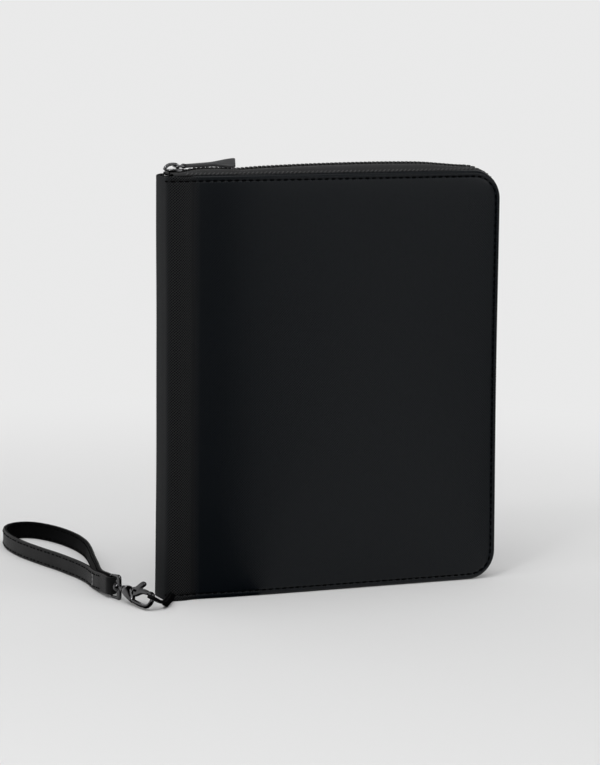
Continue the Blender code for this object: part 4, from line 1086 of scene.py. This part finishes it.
line, strap_length = strap_line(320)
strap_ahead = unit(np.roll(line, -1, 0) - np.roll(line, 1, 0)) * [1, 1, 0]
strap_in = unit(np.stack([strap_ahead[:, 1], -strap_ahead[:, 0], np.zeros(len(line))], -1))
half_wide = STRAP_WIDE / 2 - NARROWED * smooth(*NARROW_SPAN, line[:, 1] - RING_BAR[1])
band = bar(line, UP, half_wide, BAND / 2, 24, 6.0, closed=True)
lining = bar(line + strap_in * LINING_DEEP, UP, half_wide - 0.05, BACKING / 2 + 0.1, 24, 6.0, closed=True)
piece("strap_outer", band, strap_leather, "strap", ("strap_band",))
piece("strap_inner", lining, strap_back, "strap", ("strap_lining",))
print("strap", round(strap_length), "mm round")

# %% [markdown]
# Both faces of the strap show a row of stitches along each edge. Where the strap's end is sewn down beside
# the ring, three stitches in a paler thread stand in a row across it; the thread's paleness is also a painted
# highlight on the strap's crease there.

# %% Strap stitches
STRAP_PITCH, STITCH_INSET, CROSS_LEFT_OF, CROSS_Y, CROSS_STEP = 4.4, 1.5, -21.0, 34.5, 2.6
STRAP_STITCH, CROSS_STITCH, STITCH_FROM, STITCH_LEFT = (2.9, 0.85), (2.4, 0.9), 4.0, 12.0


def strap_rows():
    """Stitches at even steps near both edges, on the band's outer face and on the lining."""
    share = np.arange(STITCH_FROM, strap_length - STITCH_LEFT, STRAP_PITCH) / strap_length * len(line)
    i = share.astype(int) % len(line)
    ahead, inward = unit(strap_ahead[i]), strap_in[i]
    rows = []
    for level, face in ((-BAND / 2 - 0.02, -1), (LINING_DEEP + BACKING / 2 + 0.12, 1)):
        for z in (STRAP_WIDE / 2 - STITCH_INSET, STITCH_INSET - STRAP_WIDE / 2):
            axes = np.stack([ahead, np.cross(inward * face, ahead), inward * face], 1)
            rows.append(copies(spindle(*STRAP_STITCH), line[i] + inward * level + UP * z, axes))
    return joined(*rows)


def cross_seam():
    """Three upright stitches in a row, on the point of the strap's left run that is nearest to the seam."""
    i = int(np.argmin(np.where(line[:, 0] < CROSS_LEFT_OF, np.abs(line[:, 1] - CROSS_Y), np.inf)))
    z = CROSS_STEP * np.array([-1, 0, 1])
    place = line[i] - strap_in[i] * (BAND / 2 + 0.05) + z[:, None] * UP
    axes = np.stack([UP, unit(strap_ahead[i]), -strap_in[i]])
    return copies(spindle(*CROSS_STITCH), place, np.broadcast_to(axes, (3, 3, 3)))


piece("strap_stitches", strap_rows(), thread, "strap")
# The cross seam's pale thread is partly a painted highlight where the strap folds over.
piece("strap_end_seam", cross_seam(), pale_thread_painted_highlight, "strap")

# %% [markdown]
# A short leather strip comes out of the spine's foot, goes round the hook's nose and back in.
# The clasp hangs in it.

# %% Loop at the spine's foot
LOOP_LEATHER, LOOP_HIGH, LOOP_FOOT, LOOP_ANGLE = 1.2, 3.2, 0.4, math.radians(50.0)
LOOP_ROOT, LOOP_NOSE, LOOP_SAG, LOOP_ROOM, LOOP_GAP = 2.3, 0.95, 0.6, 0.45, 0.3
LOOP_START, LOOP_STIFF, LOOP_END, LOOP_EASE, LOOP_SWING = 1.5, 9.0, 4.6, 2.0, 3.0
LOOP_SEWN, LOOP_BEND = np.array([[-2.5], [-1.0]]), (50, 310)


def loop_shape():
    """Out of the spine along a cubic curve, round the nose on a circle, and back beside the first way."""
    out = np.array([-math.cos(LOOP_ANGLE), -math.sin(LOOP_ANGLE), 0.0])
    middle = np.array([FOLD_X, 0.0, LOOP_FOOT + LOOP_HIGH / 2])
    level = unit(np.array([ACROSS[2], 0.0, -ACROSS[0]]))
    p0, p3 = middle + out * (HALF + LOOP_START), NOSE + level * LOOP_END
    p1, p2 = p0 + out * LOOP_STIFF, p3 + level * LOOP_EASE + np.array([LOOP_SWING, 0, 0])
    t = np.linspace(0, 1, 20)[:, None]
    curve = p0 * (1 - t) ** 3 + p1 * 3 * t * (1 - t) ** 2 + p2 * 3 * t * t * (1 - t) + p3 * t ** 3
    way = np.concatenate([middle + out * (HALF + LOOP_SEWN), curve])
    lean = np.concatenate([[[0.0], [0.0]], smooth(0, 1, t)])
    tilt = unit(UP * (1 - lean) + ACROSS * lean)
    aside = unit(np.cross(np.gradient(way, axis=0), tilt)) * (LOOP_LEATHER + LOOP_GAP) / 2
    side = unit(aside[-1])
    a = np.radians(np.linspace(*LOOP_BEND, 24))[:, None]
    eye = HOOK_BAR + LOOP_ROOM + LOOP_LEATHER / 2
    bend = NOSE + eye * np.cos(a) * level + eye * np.sin(a) * side
    path = np.concatenate([way + aside, bend, (way - aside)[::-1]])
    flat = np.concatenate([tilt, np.broadcast_to(ACROSS, bend.shape), tilt[::-1]])
    narrow = np.concatenate([lean[:, 0], np.ones(len(bend)), lean[::-1, 0]])
    high = LOOP_ROOT - (LOOP_ROOT - LOOP_NOSE) * smooth(0.5, 0.95, narrow)
    path[:, 2] += (high - LOOP_HIGH / 2) * (1 - narrow) - LOOP_SAG * np.sin(np.pi * narrow)
    return bar(path, flat, high, LOOP_LEATHER / 2, 20, 5.0)


piece("foot_loop", loop_shape(), loop_leather, "spine", ("strap_loop_tab",))

# %% [markdown]
# Inside, a lining is glued over each cover, and the pockets and elastic bands are sewn on it.
# A cloth panel is a thin cushion: a rectangle whose edges are soft and whose mouth may dip in the middle.

# %% Panels of cloth
CLOSE = np.array([0, .12, .35, .7, 1.2, 2.0, 3.2])
PANEL_CORNER, HEM_AT, HEM_WIDE, SOFT_EDGE, POCKET_STITCH = 2.0, 2.2, 1.6, 0.6, (2.2, 0.4)


def crowded(low, high, count):
    """Places from low to high with extra ones near both ends."""
    inner = np.linspace(low + 5, high - 5, count)
    return np.concatenate([low + CLOSE, inner, high - CLOSE[::-1]])


def panel_shape(x, z, seat, thick, side, dip=0.0, puff=0.0, hem=0.0):
    """Seat is how far the panel's back is from the middle; its face is thick nearer, with rounded edges.

    The mouth dips by a squared sine, the face puffs out by a sine each way, and the hem is a bell curve.
    """
    a, b = np.meshgrid(crowded(*x, 44), crowded(*z, 34), indexing="ij")
    wave, up = np.sin(np.pi * (a - x[0]) / (x[1] - x[0])), (b - z[0]) / (z[1] - z[0])
    p, q = np.minimum(a - x[0], x[1] - a), np.minimum(b - z[0], z[1] - b)
    c, d = np.maximum(PANEL_CORNER - p, 0), np.maximum(PANEL_CORNER - q, 0)
    drawn = c * (1 - np.maximum(c, d) / np.maximum(np.hypot(c, d), 1e-9))
    ax = np.where(a < sum(x) / 2, a + drawn, a - drawn)
    e = np.minimum(p, q)
    rolled = hem * np.exp(-((z[1] - b - HEM_AT) / HEM_WIDE) ** 2)
    proud = (rolled + puff * wave * np.sin(np.pi * np.clip(up, 0, 1) * 0.5)) * smooth(0, 3, e)
    level = seat - thick * dome(e, min(thick, SOFT_EDGE)) - proud
    face = np.stack([ax, side * level, b - dip * wave ** 2 * up], -1)
    back = np.stack([face[..., 0], np.full_like(a, side * seat), face[..., 2]], -1)
    return shell(face, back, np.stack([a, b], -1))


def straight(start, end, level, side, pitch=3.0):
    """Stitches from one corner of a panel to another, at even steps, on the face towards the middle."""
    start, end = (np.array([p[0], side * level, p[1]]) for p in (start, end))
    count = max(int(np.linalg.norm(end - start) / pitch), 1)
    t = (np.arange(count) + 0.5)[:, None] / count
    ahead = np.broadcast_to(unit(end - start), (count, 3))
    out = np.broadcast_to([0.0, -side, 0.0], ahead.shape)
    axes = np.stack([ahead, np.cross(out, ahead), out], 1)
    return copies(spindle(*POCKET_STITCH), start + (end - start) * t, axes)


def sides_and_foot(x, z, level, side, inset=1.6):
    """The seam of a pocket: down one side, along the foot and up the other."""
    corners = [(x[0] + inset, z[1] - 1), (x[0] + inset, z[0] + inset), (x[1] - inset, z[0] + inset),
               (x[1] - inset, z[1] - 1)]
    return joined(*(straight(start, end, level, side) for start, end in zip(corners, corners[1:])))


print("panels are ready")

# %% [markdown]
# The linings follow the cover's own outline. The front cover has a slip pocket with two card pockets on it;
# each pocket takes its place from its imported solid, and lies on the one behind it.

# %% Linings, pockets and their seams
INNER, FITTED, POCKET_PUFF, POCKET_HEM = 9.0, 8.7, 0.25, 0.25
LINING_START, LINING_EDGE, LINING_RISE, LINING_WALL = 3.0, 6.0, 0.26, 0.3
POCKETS = [("slip_pocket", FITTED, 0.8, 10.0), ("card_pocket_upper", 7.6, 0.6, 4.0),
           ("card_pocket_lower", 6.7, 0.6, 4.0)]


def spans(node):
    """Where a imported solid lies, in millimetres: its reach along the cover and its reach upwards."""
    low, high = (np.array(corner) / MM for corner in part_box(node))
    return (low[0], high[0]), (low[2], high[2])


def lining_shape(side):
    """The sheet's own outline, drawn in by the turned edge, a quarter millimetre proud of the cover."""
    s, z = sheet_grid()
    start, room = ARC + LINING_START, SHEET - ARC - LINING_START - LINING_EDGE
    keep = s[:, 0] > start
    s = start + (s[keep] - s[keep][0, 0]) / (SHEET - s[keep][0, 0]) * room
    z = LINING_EDGE + z[keep] / HEIGHT * (HEIGHT - 2 * LINING_EDGE)
    e = np.minimum(from_edge(s, z) - LINING_EDGE + 0.5, np.minimum(s - start + 0.1, 9.0))
    x = s - ARC + FOLD_X
    face = np.stack([x, side * (INNER - LINING_RISE * dome(e, 0.5)), z], -1)
    back = np.stack([x, np.full_like(s, side * (INNER + LINING_WALL)), z], -1)
    return shell(face, back, np.stack([s, z], -1))


for word, side in (("front", -1), ("back", 1)):
    body, stands_for = f"{word}_half", (f"{word}_lining",)
    piece(f"{word}_lining_sheet", lining_shape(side), lining_cloth, body, stands_for)

for name, seat, thick, dip in POCKETS:
    x, z = spans(name)
    shape = panel_shape(x, z, seat, thick, -1, dip, POCKET_PUFF, POCKET_HEM)
    piece(f"{name}_cloth", shape, lining_cloth, "front_half", (name,))
    piece(f"{name}_seam", sides_and_foot(x, z, seat - thick - 0.02, -1), thread, "front_half")

# %% [markdown]
# The mesh pocket is an open net, so its material is see-through between the threads.
# A net of hexagons comes from three cosine waves that cross at 60 degrees, on the panel's own UV map.

# %% Mesh pocket and binding
NET_PITCH, NET_OPEN, NET_THICK, NET_PUFF, NET_SEAM = 0.0024, 0.2, 0.5, 0.5, 8.1
BINDING_THICK, BINDING_PUFF, BINDING_SEAM, BINDING_LAP = 1.3, 0.3, 7.2, 1.0


def net_finish():
    """A cloth that is there only where the sum of three crossed cosine waves is low."""
    material = finish("open_net", (0.01, 0.01, 0.011), 0.7, 0.3, 0.00005, on_uv=True, **woven(0.0005))
    tree = material.node_tree
    x, y, _ = split(tree, tree.nodes.new("ShaderNodeTexCoord").outputs["UV"])
    step = 2 * math.pi / NET_PITCH
    half, high = times(tree, x, step * 0.5), (times(tree, y, k * step * 0.866) for k in (1, -1))
    one, two, three = (calc(tree, "COSINE", way)
                       for way in (times(tree, x, step), *(calc(tree, "ADD", half, part) for part in high)))
    total = calc(tree, "ADD", one, calc(tree, "ADD", two, three))
    wire(tree, calc(tree, "LESS_THAN", total, NET_OPEN), tree.nodes["Principled BSDF"].inputs["Alpha"])
    return material


net_x, net_z = spans("mesh_pocket")
rim_x, rim_z = spans("mesh_pocket_binding")
net = panel_shape(net_x, net_z, FITTED, NET_THICK, 1, puff=NET_PUFF)
lapped = rim_z[0] - BINDING_LAP, rim_z[1]
binding = panel_shape(rim_x, lapped, FITTED, BINDING_THICK, 1, puff=BINDING_PUFF)
rim_ends = rim_x[0] + 1.5, rim_x[1] - 1.5
rim_rows = [straight((rim_ends[0], h), (rim_ends[1], h), BINDING_SEAM, 1)
            for h in (rim_z[0] + 1.0, rim_z[1] - 1.6)]
seams = joined(*rim_rows, sides_and_foot(net_x, net_z, NET_SEAM, 1))
piece("net_pocket", net, net_finish(), "back_half", ("mesh_pocket",))
piece("net_binding", binding, binding_cloth, "back_half", ("mesh_pocket_binding",))
piece("net_binding_seam", seams, thread, "back_half")

# %% [markdown]
# The cable bands are ribbed elastic, sewn down at even steps so that it stands off in loops between them.
# The pen loop is a flattened tube of the same elastic.

# %% Elastic bands and pen loop
LOOPS, BULGE, ELASTIC, PEN_DEEP = 5, 3.3, 0.9, 6.6


def band_shape(x, z):
    """A wave of absolute sines, sewn down at its zeros, as the outer and inner face of a shell."""
    t = np.linspace(0, LOOPS, LOOPS * 22 + 1)
    lift = BULGE * np.abs(np.sin(np.pi * t)) ** 0.7
    a = x[0] + (x[1] - x[0]) * t / LOOPS
    b = np.concatenate([z[0] + CLOSE[:4], np.linspace(z[0] + 1.4, z[1] - 1.4, 8), z[1] - CLOSE[3::-1]])
    soft = 0.25 * (1 - np.clip(np.minimum(b - z[0], z[1] - b) / 0.5, 0, 1)) ** 2
    faces = [lattice(a[:, None], (FITTED - lift - wall)[:, None] + sign * soft, b)
             for wall, sign in ((ELASTIC, 1), (0.0, -1))]
    return shell(*faces, lattice(b, lengths(np.stack([a, lift], -1))[:, None]))


def pen_loop_shape(x, z):
    """A rounded oblong tube: rings outside going up and inside coming down, joined into one closed wall."""
    c, s = rounded(40, 4.0)
    wall = [(0, v) for v in np.linspace(z[0] + 2, z[1] - 2, 9)]
    rows = [(0.3, z[0]), (0, z[0] + 0.3), *wall, (0, z[1] - 0.3), (0.3, z[1]), (ELASTIC, z[1] - 0.2),
            (ELASTIC, z[0] + 0.2)]
    inset, level = np.array(rows).T[..., None]
    px = (x[0] + x[1]) / 2 + ((x[1] - x[0]) / 2 - inset) * c
    py = PEN_DEEP / 2 - FITTED + (PEN_DEEP / 2 - inset) * s
    points, faces, _ = tube(lattice(px, py, level), closed=True)
    return points, faces, lattice(np.arange(40.0), level).reshape(-1, 2)


for word in ("upper", "lower"):
    x, z = spans(f"cable_band_{word}")
    piece(f"cable_elastic_{word}", band_shape(x, z), elastic, "back_half", (f"cable_band_{word}",))
    bars = [straight((at, z[0] + 1), (at, z[1] - 1), FITTED - ELASTIC - 0.05, 1, 2.6)
            for at in np.linspace(x[0], x[1], LOOPS + 1)]
    piece(f"cable_bar_stitches_{word}", joined(*bars), thread, "back_half")

piece("pen_elastic", pen_loop_shape(*spans("pen_loop")), elastic, "front_half", ("pen_loop",))

# %% [markdown]
# The spine's inside has its own lining, a half-round sheet that stays with the spine.

# %% Spine lining
SPINE_LINING, SPINE_LINING_IN, SPINE_LINING_ENDS = (10.4, 11.3), 2.0, (2.0, HEIGHT - 9.0)


def spine_lining_shape():
    """Two half circles, drawn in towards the fold, carried up the spine."""
    a, z = np.linspace(-np.pi / 2, np.pi / 2, 40)[:, None], crowded(*SPINE_LINING_ENDS, 40)
    faces = [lattice(FOLD_X - (r - SPINE_LINING_IN) * np.cos(a), r * np.sin(a), z) for r in SPINE_LINING]
    return shell(*faces, lattice(a * 11, z))


piece("spine_lining_sheet", spine_lining_shape(), lining_cloth, "spine", ("spine_lining",))

# %% [markdown]
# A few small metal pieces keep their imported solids: the gate's pin and spring and the zip's stop.
# They get the plating.

# %% Carried-over solids
for name in ("gate_pin", "gate_spring", "zip_foot_stop"):
    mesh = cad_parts[name].data
    mesh.materials.clear()
    mesh.materials.append(black_nickel)
    print(name, "keeps its solid")

# %% [markdown]
# The stage is a wide pale floor that fades into an even pale surround, so that no horizon shows.
# Black leather is seen mostly by what it reflects. In reflections only, the side that the case faces is
# an unlit room with one pale window, which gives the cover its dark stretch and its slow gleam.

# %% Floor
PALE, ROOM_TONE, FLOOR_TONE = 0.82, 0.004, 0.66
WINDOW = [math.radians(a) for a in (12, 22, 33, 50)]
ROOM_SIDES = math.radians(75), math.radians(100)
COVER_SPAN, FRONT_REACH, FADE_END, UNLIT_FROM = (0.05, 0.19), 0.2, 0.8, 0.01
FLOOR_RADIUS, FLOOR_RINGS, FLOOR_SIDES = 60000.0, 31, 96


def unlit_room(tree, x, y, span):
    """Where reflections meet an unlit room: in front on the eye's side, but for a window to its right."""
    ahead = times(tree, y, -1.0)
    left, right = (calc(tree, "ARCTAN2", calc(tree, "SUBTRACT", x, end * span), ahead) for end in COVER_SPAN)
    window = times(tree, soft_step(tree, left, *WINDOW[:2]), less(tree, soft_step(tree, right, *WINDOW[2:])))
    front = less(tree, soft_step(tree, calc(tree, "ABSOLUTE", left), *ROOM_SIDES))
    return times(tree, front, less(tree, window))


def glow(tree, strength):
    """A plain white light of this strength."""
    node = tree.nodes.new("ShaderNodeEmission")
    node.inputs["Color"].default_value = (1, 1, 1, 1)
    node.inputs["Strength"].default_value = strength
    return node.outputs["Emission"]


def mixed(tree, factor, under, over):
    """Two shaders mixed by a factor."""
    node = tree.nodes.new("ShaderNodeMixShader")
    for value, socket in zip((factor, under, over), node.inputs):
        tree.links.new(value, socket)
    return node.outputs["Shader"]


def floor_finish():
    """Matt near the case and an even pale tone far out, mixed by the distance from the middle.

    The distance counts for less in front. In reflections, the part on the eye's side falls to the tone of
    an unlit room.
    """
    material = bpy.data.materials.new("pale_floor")
    material.use_nodes = True
    tree = material.node_tree
    shader = tree.nodes["Principled BSDF"]
    shader.inputs["Roughness"].default_value, shader.inputs["Specular IOR Level"].default_value = 0.9, 0.1
    shader.inputs["Base Color"].default_value = (FLOOR_TONE, FLOOR_TONE, FLOOR_TONE, 1)
    x, y, _ = split(tree, tree.nodes.new("ShaderNodeTexCoord").outputs["Object"])
    deep = calc(tree, "MAXIMUM", y, times(tree, y, -FRONT_REACH))
    fade = soft_step(tree, reach(tree, x, deep), 0.0, FADE_END)
    mirror = tree.nodes.new("ShaderNodeLightPath").outputs["Is Glossy Ray"]
    room = times(tree, unlit_room(tree, x, y, 1.0), soft_step(tree, reach(tree, x, y), 0.0, UNLIT_FROM))
    lit = mixed(tree, fade, shader.outputs["BSDF"], glow(tree, PALE))
    seen = mixed(tree, times(tree, room, mirror), lit, glow(tree, ROOM_TONE))
    tree.links.new(seen, tree.nodes["Material Output"].inputs["Surface"])
    return material


def make_floor():
    """Rings that grow by an even factor, round a small disc."""
    r = np.concatenate([[1.0], np.geomspace(50, FLOOR_RADIUS, FLOOR_RINGS - 1)])[:, None]
    a = angles(FLOOR_SIDES)
    points = lattice(r * np.cos(a), r * np.sin(a), 0.0).reshape(-1, 3)
    faces = cells(FLOOR_RINGS, FLOOR_SIDES, False, True).tolist() + [list(range(FLOOR_SIDES))]
    mesh = bpy.data.meshes.new("floor")
    mesh.from_pydata((points * MM).tolist(), [], faces)
    mesh.materials.append(floor_finish())
    return placed("floor", mesh)


floor = make_floor()
print("floor:", len(floor.data.polygons), "faces")

# %% [markdown]
# The light is soft and comes mostly from the upper left and from above. A small lamp draws the glints on
# the metal, and a narrow strip behind the case lights the edges of the strap and the clasp.

# %% Light
AMBIENT, CEILING_EDGE = 0.5, (0.3, 0.65)
LAMPS = {"key": ((-1.0, -0.9, 1.5), (0.08, 0.0, 0.1), 1.8, 12.5),
         "front_right": ((1.3, -1.3, 0.9), (0.1, 0.0, 0.12), 0.8, 4),
         "top": ((0.1, -0.35, 1.9), (0.1, 0.0, 0.1), 1.8, 12),
         "glint": ((-0.9, -1.0, 1.5), (0.0, 0.0, 0.1), 0.3, 6.0),
         "back_strip": ((-0.3, 1.25, 0.85), (-0.02, -0.01, 0.01), 0.6, 0.6)}
STRIP_HIGH = 0.05


def lamp(name, place, aim, size, watts):
    """A round soft lamp at a place in metres, turned towards its aim."""
    data = bpy.data.lights.new(name, "AREA")
    data.shape, data.size, data.energy = "DISK", size, watts
    ahead = unit(np.array(aim, float) - np.array(place, float))
    right = unit(np.cross(ahead, [0, 0, 1.0]))
    item = placed(name, data)
    item.matrix_world = facing(place, right, np.cross(right, ahead), ahead)
    return data


def surround():
    """A pale tone to the eye and in reflections, and a plain grey light on matt surfaces.

    Reflections also show an unlit room in front and above.
    """
    world = bpy.data.worlds.new("surround")
    bpy.context.scene.world = world
    world.use_nodes = True
    tree = world.node_tree
    x, y, z = split(tree, tree.nodes.new("ShaderNodeTexCoord").outputs["Generated"])
    path = tree.nodes.new("ShaderNodeLightPath").outputs
    unlit = calc(tree, "MAXIMUM", unlit_room(tree, x, y, 0.0), soft_step(tree, z, *CEILING_EDGE))
    unlit = times(tree, unlit, less(tree, path["Is Camera Ray"]))
    tone = calc(tree, "MULTIPLY_ADD", unlit, ROOM_TONE - PALE, PALE)
    eye = calc(tree, "MAXIMUM", path["Is Camera Ray"], path["Is Glossy Ray"])
    seen = tree.nodes.new("ShaderNodeMix")
    tree.links.new(calc(tree, "MAXIMUM", eye, path["Is Transmission Ray"]), seen.inputs["Factor"])
    seen.inputs["A"].default_value = AMBIENT
    tree.links.new(tone, seen.inputs["B"])
    tree.links.new(seen.outputs["Result"], tree.nodes["Background"].inputs["Strength"])
    tree.nodes["Background"].inputs["Color"].default_value = (1, 1, 1, 1)


lights = {name: lamp(name, *values) for name, values in LAMPS.items()}
lights["back_strip"].shape, lights["back_strip"].size_y = "RECTANGLE", STRIP_HIGH
surround()
bpy.context.scene.view_settings.view_transform = "Standard"
print("lamps:", ", ".join(lights))
